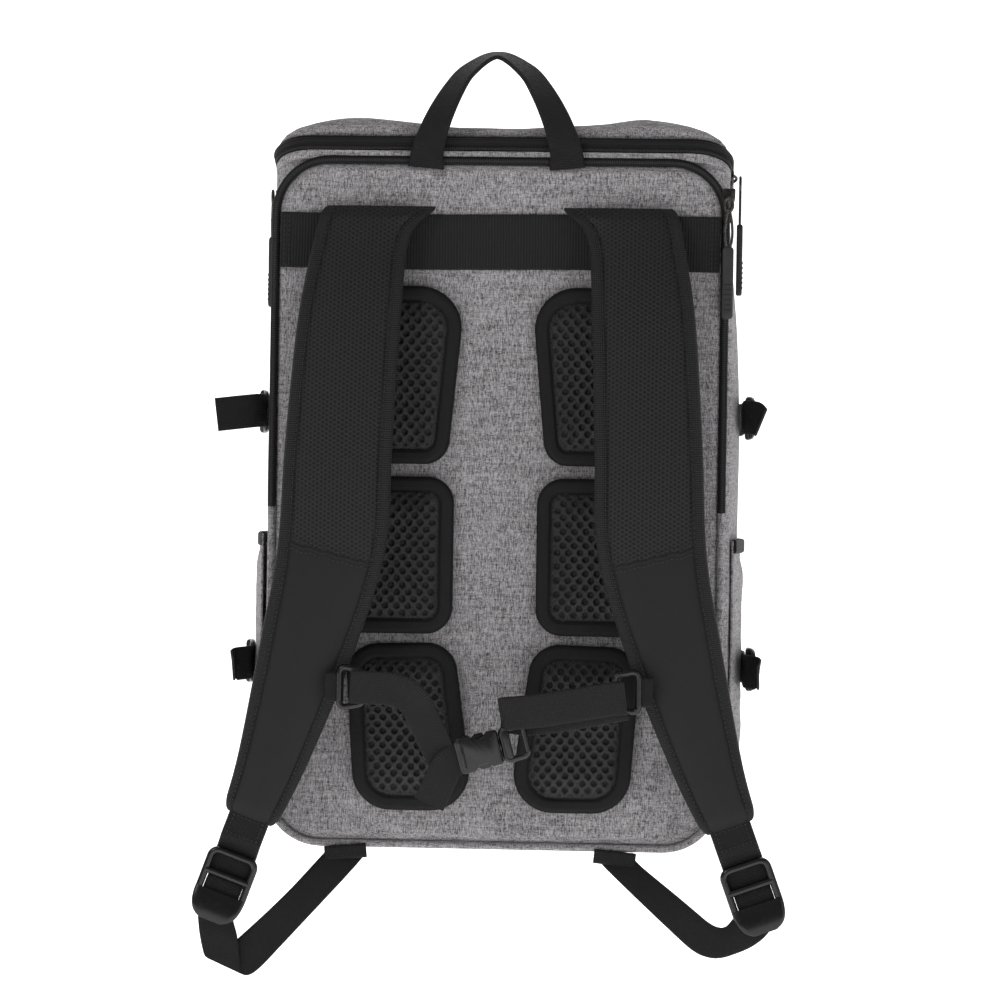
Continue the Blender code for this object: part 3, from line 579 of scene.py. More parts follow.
crown_start = band_height + 0.0004
crown_rise = 0.0135
hump_place, hump_spread = 0.108, 0.060
crown_rows = []
for share in (0.0, 0.5, 0.97):
    crown_rows.append([(x, y, zip_height(y) + crown_start)
                       for x, y in rim_centre + (rim - rim_centre) * share])
for share in np.concatenate(([1.0, 1.004, 1.006, 1.002, 0.99], np.linspace(0.97, 0.04, 30))):
    row = []
    flat = rim_centre + (rim - rim_centre) * share
    index = len(crown_rows)
    for x, y in flat:
        lift = min(1.0, (index - 3) / 5.0)
        edge = 0.0055 * math.sin(lift * math.pi / 2)
        inward = max(0.0, 0.99 - share)
        rounding = 1 - math.exp(-inward / 0.10)
        humps = sum(math.exp(-((x - centre) / hump_spread) ** 2) for centre in (-hump_place, hump_place))
        puff = crown_rise * rounding * (0.22 + 0.80 * humps)
        fine, broad = rumple((x, y, 0), 0.028, 5), rumple((x, y, 0), 0.07, 8)
        crease = 0.0014 * rounding * fine + 0.0022 * rounding * broad
        row.append((x, y, zip_height(y) + crown_start + edge + puff + crease))
    crown_rows.append(row)
lid_crown = sewn("lid_crown", crown_rows, grey_cloth, around=True, capped=True)


def swell(made, voxel, pressure, most, steps=14):
    """Blow a closed pad up a little as cloth, so that it creases as sewn fabric does."""
    remesh = made.modifiers.new("remesh", "REMESH")
    remesh.mode = "VOXEL"
    remesh.voxel_size = voxel
    bpy.context.view_layer.update()
    ready = bpy.data.meshes.new_from_object(made.evaluated_get(bpy.context.evaluated_depsgraph_get()))
    made.modifiers.clear()
    made.data = ready
    before = np.zeros(len(ready.vertices) * 3)
    ready.vertices.foreach_get("co", before)
    cloth = made.modifiers.new("cloth", "CLOTH")
    cloth.settings.quality = 4
    cloth.settings.use_pressure = True
    cloth.settings.uniform_pressure_force = pressure
    cloth.settings.effector_weights.gravity = 0
    cloth.point_cache.frame_start, cloth.point_cache.frame_end = 1, steps
    for step in range(1, steps + 1):
        bpy.context.scene.frame_set(step)
    puffed = bpy.data.meshes.new_from_object(made.evaluated_get(bpy.context.evaluated_depsgraph_get()))
    made.modifiers.clear()
    bpy.context.scene.frame_set(1)
    after = np.zeros(len(before))
    puffed.vertices.foreach_get("co", after)
    move = (after - before).reshape(-1, 3)
    length = np.linalg.norm(move, axis=1)[:, None]
    move *= np.minimum(1.0, most / np.maximum(length, 1e-9))
    puffed.vertices.foreach_set("co", (before.reshape(-1, 3) + move).ravel())
    puffed.shade_smooth()
    made.data = puffed
    finer = made.modifiers.new("finer", "SUBSURF")
    finer.levels = finer.render_levels = 1


swell(lid_crown, 0.0045, 2.5, 0.003)
sew_on(lid_crown, "lid", "grey_heather_cloth", "lid_panel")


# --- Trolley band ---------------------------------------------------------------------------
# Wide ribbed webbing sewn across the panel at both edges; a suitcase handle passes behind it.
def webbing_finish(name, rib, cord, dark=0.003, light=0.020, depth=0.00035):
    """Woven webbing: ribs across its length and fine cords along it."""
    made, spot, feed = start_finish(name, "UV", sheen=0.01, specular=0.20)
    u, v, _ = axes_of(spot)
    weave_and_groove_shade = v.wave(rib) * 0.62 + u.wave(cord) * 0.38
    uneven = spot.yarn((600, 400, 1))
    # The colour follows the ribs and cords: painted shade in the grooves and lighter tops, with a real uneven
    # yarn tone on top.
    share = weave_and_groove_shade.spread(-1, 1) * 0.7 + uneven * 0.45
    feed(share.tint((dark,) * 3, (light, light, light * 1.05)), uneven.spread(0.3, 0.7, 0.5, 0.72),
         weave_and_groove_shade.raised(depth, 0.8))
    return made


def ribbon_rows(line, across, half, thickness, columns=9):
    """Rows of a woven strap along a line; across is the direction of its width at each point."""
    line = np.asarray(line, float)
    ahead = np.gradient(line, axis=0)
    ahead /= np.linalg.norm(ahead, axis=1)[:, None]
    across = np.array(np.broadcast_to(np.asarray(across, float), line.shape))
    across -= (across * ahead).sum(1)[:, None] * ahead
    across /= np.linalg.norm(across, axis=1)[:, None]
    half = np.broadcast_to(np.asarray(half, float), (len(line),))
    return strap_section(line, across, half, thickness, columns)


def strap_section(line, across, half, thickness, columns=9):
    """A flat section with rounded edges at every point of a line."""
    out = np.cross(np.gradient(line, axis=0), across)
    out /= np.linalg.norm(out, axis=1)[:, None]
    edge = thickness / 2
    section = [(share, 0.0, edge) for share in np.linspace(-1, 1, columns)]
    section += [(1, edge * math.sin(a), edge * math.cos(a)) for a in (0.8, 1.57, 2.35)]
    section += [(share, 0.0, -edge) for share in np.linspace(1, -1, columns)]
    section += [(-1, -edge * math.sin(a), edge * math.cos(a)) for a in (2.35, 1.57, 0.8)]
    return [[point + a * ((h - edge) * share + extra) + o * lift for share, extra, lift in section]
            for point, a, o, h in zip(line, across, out, half)]


def folded_rows(stops, thickness):
    """Rows of a strap that folds: each stop gives the two ends of its width; turns are rounded."""
    edges = np.array(stops, float)
    for turn in range(4):
        near = edges[:-1] * 0.78 + edges[1:] * 0.22
        far = edges[:-1] * 0.22 + edges[1:] * 0.78
        edges = np.concatenate([edges[:1], np.stack([near, far], 1).reshape(-1, 2, 3), edges[-1:]])
    width = edges[:, 1] - edges[:, 0]
    half = np.linalg.norm(width, axis=1) / 2
    return strap_section(edges.mean(1), width / half[:, None] / 2, half, thickness)


def webbing(name, line, across, half, thickness, finish):
    return sewn(name, ribbon_rows(line, across, half, thickness), finish, around=True, capped=True)


ribbed_webbing = webbing_finish("ribbed black webbing", 0.0021, 0.0009, light=0.024)
chest_webbing = webbing_finish("narrow ribbed webbing", 0.0013, 0.0013, light=0.024, depth=0.00025)
twill_webbing = webbing_finish("fine black webbing", 0.0012, 0.0011)
trolley_low, trolley_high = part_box("trolley_band")
trolley_y = (trolley_low.y + trolley_high.y) / 2
trolley_z = (trolley_low.z + trolley_high.z) / 2
trolley_line = [(x, trolley_y - 0.0004, trolley_z + 0.0006 * math.sin(22 * x))
                for x in np.linspace(trolley_low.x, trolley_high.x, 90)]
trolley = webbing("trolley_webbing", trolley_line, (0, 0, 1), (trolley_high.z - trolley_low.z) / 2,
                  0.0020, ribbed_webbing)
sew_on(trolley, "bag", "black_webbing", "trolley_band")
trolley_seams = [[(side * (trolley_high.x - run), trolley_low.y - 0.0006, z)
                  for z in (trolley_low.z + 0.003, trolley_high.z - 0.003)]
                 for side in (-1, 1) for run in (0.003, 0.006)]
trolley_thread = beaded("trolley_stitches", trolley_seams, 0.0032, (0.0023, 0.0006, 0.0006),
                        (0, -1, 0), zip_nylon)
sew_on(trolley_thread, "bag", "black_webbing")


# --- Air pads -------------------------------------------------------------------------------
# Six moulded foam pads in glossy spacer mesh: a plain rim, a pressed groove, then a domed field
# of staggered round dimples.
def air_mesh_finish(name):
    made, spot, feed = start_finish(name, "Object", sheen=0.01, specular=0.5)
    x, y, z = axes_of(spot)
    pitch = 0.0011
    knit_and_hole_shade = (x + pitch / 4).wave(pitch) + (x * 0.5 + z * 0.866).wave(pitch) + (z * 0.866 - x * 0.5).wave(pitch)
    fleck = spot.yarn((500, 500, 500))
    # The colour follows the knit: painted shade in its holes and lighter raised yarn, with real random flecks
    # on top.
    share = knit_and_hole_shade.spread(-1.5, 3.0) * 0.7 + fleck * 0.4
    feed(share.tint((0.002, 0.002, 0.003), (0.020, 0.020, 0.023)), fleck.spread(0.3, 0.7, 0.24, 0.36),
         knit_and_hole_shade.raised(0.00022, 0.6))
    return made


air_mesh = air_mesh_finish("black air mesh")
pad_felt = webbing_finish("black pad rim", 0.0012, 0.0012, light=0.012, depth=0.0001)
pad_shapes = {
    "upper": ((0.0235, 0.405, 0.030), (0.112, 0.405, 0.014), (0.112, 0.277, 0.020), (0.0355, 0.277, 0.018)),
    "middle": ((0.030, 0.268, 0.019), (0.115, 0.268, 0.014), (0.115, 0.155, 0.020), (0.030, 0.155, 0.019)),
    "lower": ((0.0285, 0.149, 0.022), (0.1065, 0.147, 0.022), (0.0985, 0.028, 0.028), (0.012, 0.028, 0.028)),
}


def round_corners(corners, count=10):
    """An outline through corners (x, z, radius), each rounded by its own radius."""
    outline = []
    spots = [np.array(corner[:2]) for corner in corners]
    for index, (*_, radius) in enumerate(corners):
        here, before, after = spots[index], spots[index - 1], spots[(index + 1) % len(spots)]
        to_before = (before - here) / np.linalg.norm(before - here)
        to_after = (after - here) / np.linalg.norm(after - here)
        half = math.acos(float(np.clip(to_before @ to_after, -1, 1))) / 2
        run = radius / math.tan(half)
        start, end = here + to_before * run, here + to_after * run
        inward = (to_before + to_after) / np.linalg.norm(to_before + to_after)
        centre = here + inward * radius / math.sin(half)
        for share in np.linspace(0, 1, count + 1):
            spoke = (start - centre) * (1 - share) + (end - centre) * share
            outline.append(centre + spoke / np.linalg.norm(spoke) * radius)
    return np.array(outline)


pad_rim, pad_groove = 0.0105, 0.0024
dimple_across, dimple_up, dimple_radius, dimple_depth = 0.0082, 0.0050, 0.0022, 0.0024
for side_name, mirror in (("left", -1), ("right", 1)):
    for level, corners in pad_shapes.items():
        node = f"air_pad_{level}_{side_name}"
        pad_low, pad_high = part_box(node)
        outline = even_line(round_corners(corners), 400, True)
        middle = (outline.max(0) + outline.min(0)) / 2
        rim_height = pad_high.y - pad_low.y
        rows = [[(mirror * x, pad_high.y, z) for x, z in outline]]
        rows.append([(mirror * x, pad_high.y - rim_height * 0.55, z) for x, z in outline])
        gaps = []
        for share in 1 - np.linspace(0, 1, 64)[:-1] ** 0.92:
            flat = middle + (outline - middle) * share
            gap = np.linalg.norm(flat[:, None] - outline[None, ::2], axis=2).min(1)
            edge = np.sqrt(np.clip(1 - (1 - np.clip(gap / 0.004, 0, 1)) ** 2, 0, 1))
            height = rim_height * (0.50 + 0.38 * edge)
            height -= 0.0016 * np.exp(-((gap - pad_rim) / (pad_groove * 0.5)) ** 2)
            dome = np.clip((gap - pad_rim - pad_groove * 0.5) / 0.016, 0, 1)
            height += 0.0036 * np.sin(dome * math.pi / 2)
            up = flat[:, 1] / dimple_up
            turn = np.round(up)
            near_x = flat[:, 0] / dimple_across - (turn % 2) * 0.5
            near_x = (near_x - np.round(near_x)) * dimple_across
            near = np.hypot(near_x, (up - turn) * dimple_up)
            pit = np.clip(1 - (near / dimple_radius) ** 2, 0, 1) ** 0.45
            height -= dimple_depth * pit * np.clip((gap - pad_rim - pad_groove * 0.6) / 0.002, 0, 1)
            rows.append([(mirror * x, pad_high.y - h, z) for (x, z), h in zip(flat, height)])
            gaps.append(gap)
        pad = sewn(node + "_mesh", rows, air_mesh, around=True, capped=True)
        pad.data.materials.append(pad_felt)
        rims = np.concatenate([np.ones(2 * len(outline), bool), (np.array(gaps[:-1]) < pad_rim).ravel()])
        for face, is_rim in zip(pad.data.polygons, rims):
            face.material_index = int(is_rim)
        sew_on(pad, "bag", "air_mesh", node)

# --- Shoulder straps ------------------------------------------------------------------------
# Foam straps, crowned, with a folded twill binding down both edges. The upper part is embossed
# cloth, seamed on a slant to plain twill; a narrow stitched tab at the end holds the lock.
strap_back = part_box("strap_left")[1].y
strap_thickness = 0.014
strap_middle = strap_back - strap_thickness / 2
strap_shape = ((0.462, 0.000, 0.0430, 0.1270), (0.440, 0.007, 0.0630, 0.1320),
               (0.380, 0.024, 0.0680, 0.1415), (0.290, 0.037, 0.0715, 0.1480),
               (0.215, 0.040, 0.0750, 0.1520), (0.144, 0.036, 0.0970, 0.1640),
               (0.065, 0.026, 0.1300, 0.1795), (0.022, 0.018, 0.1515, 0.1915))
end_tilt = math.radians(20)
binding_width, binding_height, pad_front, pad_back = 0.0090, 0.0036, 0.0078, 0.0056
seam_slope, seam_height = 0.247, 0.1845


def strap_cloth_finish(name):
    """Embossed cloth above the slanting seam, fine twill below it."""
    made, spot, feed = start_finish(name, "Object", sheen=0.01, specular=0.20)
    x, y, z = axes_of(spot)
    pitch = 0.0028
    cells = ((x + pitch / 4).wave(pitch) + (x * 0.5 + z * 0.866 + pitch / 4).wave(pitch)
             + (z * 0.866 - x * 0.5 + pitch / 4).wave(pitch)).spread(-1.5, 2.0)
    twill = (x * 0.7 + z * 0.7).wave(0.0011).spread(-1, 1)
    upper = z - x.sum("ABSOLUTE", x) * seam_slope > seam_height
    # The colour follows the emboss and the twill: painted shade in the pressed cells and twill grooves and
    # lighter raised parts, with real random flecks on top.
    emboss_and_painted_shade = (1 - cells) * upper + (twill * 0.35 + 0.25) * (1 - upper)
    fleck = spot.yarn((700, 700, 700))
    share = emboss_and_painted_shade * 0.55 + fleck * 0.5
    feed(share.tint((0.003, 0.003, 0.0035), (0.026, 0.026, 0.028)), fleck.spread(0.3, 0.7, 0.52, 0.7),
         emboss_and_painted_shade.raised(0.0005, 0.75))
    return made


strap_cloth = strap_cloth_finish("strap cloth")
binding_twill = webbing_finish("binding twill", 0.0016, 0.0016, dark=0.004, light=0.026)
edge_steps = np.array([0.0, 0.0003, 0.0010, 0.0021, 0.0036, 0.0056, 0.0078, 0.0087, 0.0092, 0.0100,
                       0.0118, 0.0145, 0.0185, 0.0240])


def strap_rows(mirror):
    """Rows round a strap from its sewn top to its end: front from one edge to the other, then back."""
    path = soft_line([((inner + outer) / 2, strap_middle - out, z, (outer - inner) / 2)
                      for z, out, inner, outer in strap_shape], 300)
    run = np.concatenate(([0], np.cumsum(np.linalg.norm(np.diff(path[:, :3], axis=0), axis=1))))
    tilt = end_tilt * np.clip((run / run[-1] - 0.6) / 0.4, 0, 1)
    full = 0.30 + 0.70 * smooth_step(run, 0.0, 0.012)
    closing = np.clip((run - (run[-1] - 0.012)) / 0.012, 0, 1)
    full *= 1 - 0.62 * closing ** 2
    opening = np.clip((0.010 - run) / 0.010, 0, 1)
    half = path[:, 3] * (1 - 0.20 * (1 - np.sqrt(1 - closing ** 2 * 0.98)))
    half *= 1 - 0.09 * (1 - np.sqrt(1 - opening ** 2 * 0.98))
    rows = []
    for point, lean, thick, wide in zip(path[:, :3], tilt, full, half):
        scale = min(1.0, wide / 0.032)
        steps = edge_steps * scale
        inner_steps = np.linspace(steps[-1], 2 * wide - steps[-1], 8)[1:-1]
        across = np.concatenate((steps, inner_steps, 2 * wide - steps[::-1]))
        edge = np.minimum(across, 2 * wide - across)
        bound = binding_width * scale
        rim = binding_height * np.sqrt(np.clip(1 - (1 - np.clip(edge / 0.0036, 0, 1)) ** 2, 0, 1))
        rise = 1 - np.exp(-np.clip(edge - bound, 0, None) / 0.008)
        groove = 0.0008 * np.exp(-((edge - bound) / 0.0006) ** 2)
        front = (rim + (pad_front - binding_height) * rise - groove) * thick
        back = -(rim + (pad_back - binding_height) * rise) * thick
        side_on = np.array([math.cos(lean), 0, math.sin(lean)])
        ring = [point + side_on * (a - wide) + np.array([0, -b, 0]) for a, b in zip(across, front)]
        ring += [point + side_on * (a - wide) + np.array([0, -b, 0])
                 for a, b in zip(across[-2:0:-1], back[-2:0:-1])]
        rows.append([(mirror * x, y, z) for x, y, z in ring])
    return np.array(rows)


front_columns = 2 * len(edge_steps) + 6
strap_end = Vector((0.1715, strap_middle - 0.018, 0.022))
end_direction = Vector((math.sin(end_tilt), 0, -math.cos(end_tilt)))
tab_length = 0.026
for side_name, mirror in (("left", -1), ("right", 1)):
    rows = strap_rows(mirror)
    strap = sewn(f"strap_{side_name}_padded", rows, strap_cloth, around=True, capped=True)
    strap.data.materials.append(binding_twill)
    bound = [index < 7 or index >= front_columns - 8 for index in range(rows.shape[1])]
    bound = [mark and index < front_columns + 7 or index > rows.shape[1] - 8
             for index, mark in enumerate(bound)]
    for face in strap.data.polygons[:(len(rows) - 1) * rows.shape[1]]:
        face.material_index = int(bound[face.index % rows.shape[1]])
    sew_on(strap, "straps", "strap_cloth", f"strap_{side_name}")
    out = np.array([0, -0.00035, 0])
    seam_line = []
    for column in range(7, front_columns - 7):
        drop = rows[:, column, 2] - seam_slope * np.abs(rows[:, column, 0]) - seam_height
        first = int(np.argmax(drop < 0))
        seam_line.append(rows[first, column] + out * 0.3)
    welt = sewn(f"strap_seam_{side_name}", tube_rows(even_line(seam_line, 60), 0.0010, 0.0007, (0, -1, 0)),
                binding_twill, around=True, capped=True)
    sew_on(welt, "straps", "strap_cloth")
    edges = [rows[4:-6, 6] + out, rows[4:-6, front_columns - 7] + out,
             even_line(seam_line, 60) + np.array([0, -0.0003, 0.0035]),
             even_line(seam_line, 60) + np.array([0, -0.0003, -0.0035])]
    thread = beaded(f"strap_stitches_{side_name}", edges, 0.0034, (0.0024, 0.0006, 0.0006),
                    (0, -1, 0), zip_nylon)
    sew_on(thread, "straps", "strap_cloth")
    ends = [(strap_end + end_direction * run, run) for run in np.linspace(-0.007, tab_length + 0.020, 40)]
    tuck = [0.0042 * float(smooth_step(run, tab_length - 0.010, tab_length)) for _, run in ends]
    tab_line = [(mirror * p.x, p.y - 0.0004 + back, p.z) for (p, _), back in zip(ends, tuck)]
    tab = webbing(f"strap_tab_{side_name}", tab_line, (math.cos(end_tilt), 0, mirror * math.sin(end_tilt)),
                  0.0150, 0.0034, twill_webbing)
    sew_on(tab, "straps", "black_webbing")
    side_on = Vector((mirror * math.cos(end_tilt), 0, math.sin(end_tilt)))
    stitch_box = []
    for run in (0.001, 0.014):
        spot = strap_end + end_direction * run
        stitch_box.append([tuple(Vector((mirror * spot.x, spot.y - 0.0026, spot.z)) + side_on * a)
                           for a in (-0.011, 0.011)])
    box_lines = [[upper_stitch, lower_stitch] for upper_stitch, lower_stitch in zip(*stitch_box)] + stitch_box
    tab_thread = beaded(f"tab_stitches_{side_name}", box_lines, 0.0028, (0.0020, 0.0006, 0.0006),
                        (0, -1, 0), zip_nylon)
    sew_on(tab_thread, "straps", "black_webbing")


# --- Ladder locks ---------------------------------------------------------------------------
# Moulded acetal frames with two bars and a flared thumb lip; the tab loops over the top bar and
# the free webbing runs round the lower one.
def moulded_finish(name, dark=0.0045, light=0.0065, rough=0.24):
    made, spot, feed = start_finish(name, "Object", specular=0.5)
    grain = spot.yarn((300, 300, 300), 3.0)
    feed(grain.tint((dark,) * 3, (light,) * 3), grain.spread(0.3, 0.7, rough - 0.02, rough + 0.04),
         grain.raised(0.0001, 0.05))
    return made


acetal = moulded_finish("black acetal")


def gather(name, parts, turn):
    """Join moulded parts into one piece and set it in its place."""
    shape = bmesh.new()
    for part in parts:
        shape.from_mesh(part.data)
    shape.transform(turn)
    mesh = bpy.data.meshes.new(name)
    shape.to_mesh(mesh)
    shape.free()
    mesh.materials.append(parts[0].data.materials[0])
    for part in parts:
        bpy.data.objects.remove(part)
    made = bpy.data.objects.new(name, mesh)
    bpy.context.scene.collection.objects.link(made)
    return made


def slab(outline, low, high, edge, finish):
    """A moulded plate with rounded edges, from y = low to y = high in its own frame."""
    levels = [(edge * (1 - math.sin(a)), edge * (1 - math.cos(a))) for a in np.linspace(0, math.pi / 2, 5)]
    rows = pillow_rows(outline, [(inset, 0) for inset, _ in levels], low)
    rows = [[(x, low + depth, z) for x, _, z in row] for row, (_, depth) in zip(rows, levels)]
    back = [[(x, high - depth, z) for x, _, z in row] for row, (_, depth) in zip(rows, levels)][::-1]
    return sewn("slab", rows + back, finish, around=True, capped=True)


def bar(start, end, radius_a, radius_b, finish):
    """A rounded cross bar."""
    line = np.linspace(start, end, 8)
    return sewn("bar", tube_rows(line, radius_a, radius_b, (0, -1, 0), sides=14), finish,
                around=True, capped=True)


def ring_of(outline, radius_a, radius_b, finish, closed=True):
    """A rounded moulding that follows an outline in x and z."""
    line = np.array([(x, 0.0, z) for x, z in outline])
    return sewn("ring", tube_rows(line, radius_a, radius_b, (0, -1, 0), closed=closed, sides=14), finish,
                around=True)


def ladder_lock(name, width, length, thick, lip, turn):
    """A ladder lock lying in x and z: frame, a bar and a broad thumb lip over its lower end."""
    rail = 0.0026 * width / 0.038
    outline = corner_box(width / 2 - rail, -length * 0.20, length / 2 - rail, (width * 0.05, width * 0.14), 8)
    parts = [ring_of(even_line(outline, 90, True), rail, thick / 2, acetal)]
    inner = width / 2 - rail
    bar_height = length * 0.13
    parts.append(bar((-inner, -0.0004, bar_height), (inner, -0.0004, bar_height), rail, thick * 0.48, acetal))
    shares = np.linspace(0, 1, 14)
    lip_line = [(0, -thick * 0.25 - lip * math.sin(share * 1.9), -length * (0.13 + 0.40 * share))
                for share in shares]
    lip_half = width / 2 * (1 - 0.30 * shares ** 2.2) * np.sqrt(np.clip(1 - (shares * 0.93) ** 8, 0, 1))
    parts.append(sewn("lip", ribbon_rows(lip_line, (1, 0, 0), lip_half, thick * 0.75, 13), acetal,
                      around=True, capped=True))
    return gather(name, parts, turn)


lock_centre = strap_end + end_direction * (tab_length + 0.0003 + 0.025)
for side_name, mirror in (("left", -1), ("right", 1)):
    turn = (Matrix.Translation((mirror * lock_centre.x, lock_centre.y, lock_centre.z))
            @ Matrix.Rotation(-mirror * end_tilt, 4, "Y"))
    lock = ladder_lock(f"ladder_lock_{side_name}_moulding", 0.038, 0.050, 0.005, 0.0035, turn)
    sew_on(lock, "straps", "black_plastic", f"ladder_lock_{side_name}")

# --- Lower webs -----------------------------------------------------------------------------
# Free webbing that drops from each lock, folds round on itself and runs up to its anchor under
# the bag.
web_behind = strap_end.y + 0.0030
web_rest = panel_low.y - 0.0030
web_half = 0.0136
tails = {"left": {"drop": ((-0.2065, -0.0640), (-0.1785, -0.0640)),
                  "crease": ((-0.2010, -0.0855), (-0.1755, -0.1000)),
                  "rise": ((-0.1480, -0.0360), (-0.1355, -0.0560)),
                  "foot": ((-0.1180, -0.0020), (-0.0905, -0.0065))},
         "right": {"drop": ((0.1790, -0.0370), (0.1930, -0.0620)),
                   "crease": ((0.1665, -0.0540), (0.1560, -0.0760)),
                   "rise": ((0.1370, -0.0300), (0.1200, -0.0440)),
                   "foot": ((0.1030, -0.0050), (0.0760, -0.0050))}}
for side_name, tail in tails.items():
    mirror = -1 if side_name == "left" else 1
    tilt = Vector((math.cos(end_tilt), 0, mirror * math.sin(end_tilt))) * web_half
    lock = [Vector((mirror * p.x, web_behind - lift, p.z)) for p, lift in
            ((lock_centre - end_direction * 0.004, 0.0), (lock_centre + end_direction * 0.002, 0.0022),
             (lock_centre + end_direction * 0.009, 0.0016), (lock_centre + end_direction * 0.020, -0.0004))]
    stops = [(point - tilt, point + tilt) for point in lock]
    for place, shift in (("drop", 0.0010), ("crease", 0.0030), ("rise", 0.0062)):
        stops.append([(x, web_behind + shift, z) for x, z in tail[place]])
    foot = [Vector((x, web_rest, z)) for x, z in tail["foot"]]
    stops += [foot, [Vector((point.x, web_rest + 0.016, -0.0022)) for point in foot]]
    lower = sewn(f"lower_web_{side_name}_webbing", folded_rows(stops, 0.0018), twill_webbing,
                 around=True, capped=True)
    foot = (foot[0] + foot[1]) / 2
    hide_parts(f"lower_web_{side_name}")
    foot + Vector((mirror * 0.006, 0, -0.006))
    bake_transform(lower)
    hem_line = [(foot.x + run, web_rest - 0.0012, foot.z + 0.0012 - 0.10 * mirror * run)
                for run in np.linspace(-0.0150, 0.0150, 20)]
    hem = webbing(f"lower_web_hem_{side_name}", hem_line, (0, 0, 1), 0.0052, 0.0034, twill_webbing)
    sew_on(hem, "bag", "black_webbing")

# --- Chest strap ----------------------------------------------------------------------------
# Glossy trapezoid rings on the straps carry two webs; a side-release buckle joins them and a
# free tail hangs from its socket.
clip_left, clip_left_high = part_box("chest_clip_left")
clip_y = clip_left.y + 0.002
clip_z = (clip_left.z + clip_left_high.z) / 2
web_y = clip_left.y - 0.0012
buckle_tilt = math.radians(15)
buckle_place = Matrix.Translation((0.005, web_y - 0.001, 0.078)) @ Matrix.Rotation(-buckle_tilt, 4, "Y")
buckle_along = Vector((math.cos(buckle_tilt), 0, math.sin(buckle_tilt)))
buckle_across = Vector((-math.sin(buckle_tilt), 0, math.cos(buckle_tilt)))
for side_name, mirror in (("left", -1), ("right", 1)):
    outline = round_corners([(mirror * x, z, 0.004) for x, z in
                             ((0.0085, -0.015), (0.0085, 0.015), (-0.0085, 0.0115), (-0.0085, -0.0115))], 6)
    clip = gather(f"chest_clip_{side_name}_ring",
                  [ring_of(even_line(outline, 60, True), 0.0023, 0.0024, acetal)],
                  Matrix.Translation((mirror * 0.097, clip_y, clip_z)))
    sew_on(clip, "straps", "black_plastic", f"chest_clip_{side_name}")
    keeper_line = [(mirror * x, clip_y + 0.0010, clip_z) for x in np.linspace(0.1025, 0.1155, 8)]
    keeper = webbing(f"clip_keeper_{side_name}", keeper_line, (0, 0, 1), 0.0105, 0.0026, twill_webbing)
    sew_on(keeper, "straps", "black_webbing")


def eased(values, count):
    """Even steps between a few chosen directions."""
    wanted = np.linspace(0, len(values) - 1, count)
    return np.stack([np.interp(wanted, range(len(values)), column) for column in zip(*values)], 1)


left_route = [(-0.0975, web_y, 0.1190), (-0.086, web_y, 0.1185), (-0.066, web_y, 0.1172),
              (-0.053, web_y, 0.110), (-0.0445, web_y, 0.095)]
socket_end = buckle_place @ Vector((-0.0235, 0, 0))
left_route += [tuple(socket_end - buckle_along * 0.013), tuple(socket_end - buckle_along * 0.005),
               tuple(socket_end + buckle_along * 0.002)]
left_line = soft_line(left_route, 90)
left_across = eased([(0, 0, 1), (0, 0, 1), (0.1, 0, 1), (0.75, -0.2, 0.9), (0.85, -0.15, 0.6)]
                    + [tuple(buckle_across)] * 3, 90)
chest_left = webbing("chest_web_left_webbing", left_line, left_across, 0.0118, 0.0019, chest_webbing)
sew_on(chest_left, "straps", "black_webbing", "chest_web_left")
right_loop = ((0.0965, -0.0010, 0.1145), (0.080, -0.0012, 0.1125), (0.055, -0.0022, 0.1080),
              (0.030, -0.0030, 0.1040), (0.014, -0.0034, 0.1022), (0.0098, -0.0012, 0.1015),
              (0.0098, 0.0030, 0.1005), (0.014, 0.0052, 0.0995), (0.030, 0.0050, 0.0985),
              (0.055, 0.0040, 0.1020), (0.080, 0.0028, 0.1070), (0.0965, 0.0022, 0.1105))
right_route = [(x, web_y + back, z) for x, back, z in right_loop]
right_line = soft_line(right_route, 200)
right_across = eased([(0.06, 0, 1), (-0.16, 0, 1), (0.06, 0, 1)], 200)
chest_right = webbing("chest_web_right_webbing", right_line, right_across, 0.0118, 0.0019, chest_webbing)
sew_on(chest_right, "plug", "black_webbing", "chest_web_right")
tail_route = [tuple(socket_end - buckle_along * 0.001 + Vector((0, -0.0016, 0))),
              tuple(socket_end - buckle_along * 0.010 + Vector((0, -0.0030, -0.004))),
              tuple(socket_end - buckle_along * 0.017 + Vector((0, -0.0032, -0.016))),
              (-0.0405, web_y - 0.003, 0.0375)]
tail = webbing("chest_tail_webbing", soft_line(tail_route, 40), (0.9, 0, -0.55), 0.0112, 0.0019,
               chest_webbing)
sew_on(tail, "straps", "black_webbing")



def plate_outline(start, end, half_start, half_end, radius_start, radius_end, steps, points):
    """A closed outline lying along x, with its own width and corner radius at each end."""
    corners = [(start, -half_start, radius_start), (end, -half_end, radius_end),
               (end, half_end, radius_end), (start, half_start, radius_start)]
    return even_line(round_corners(corners, steps), points, True)


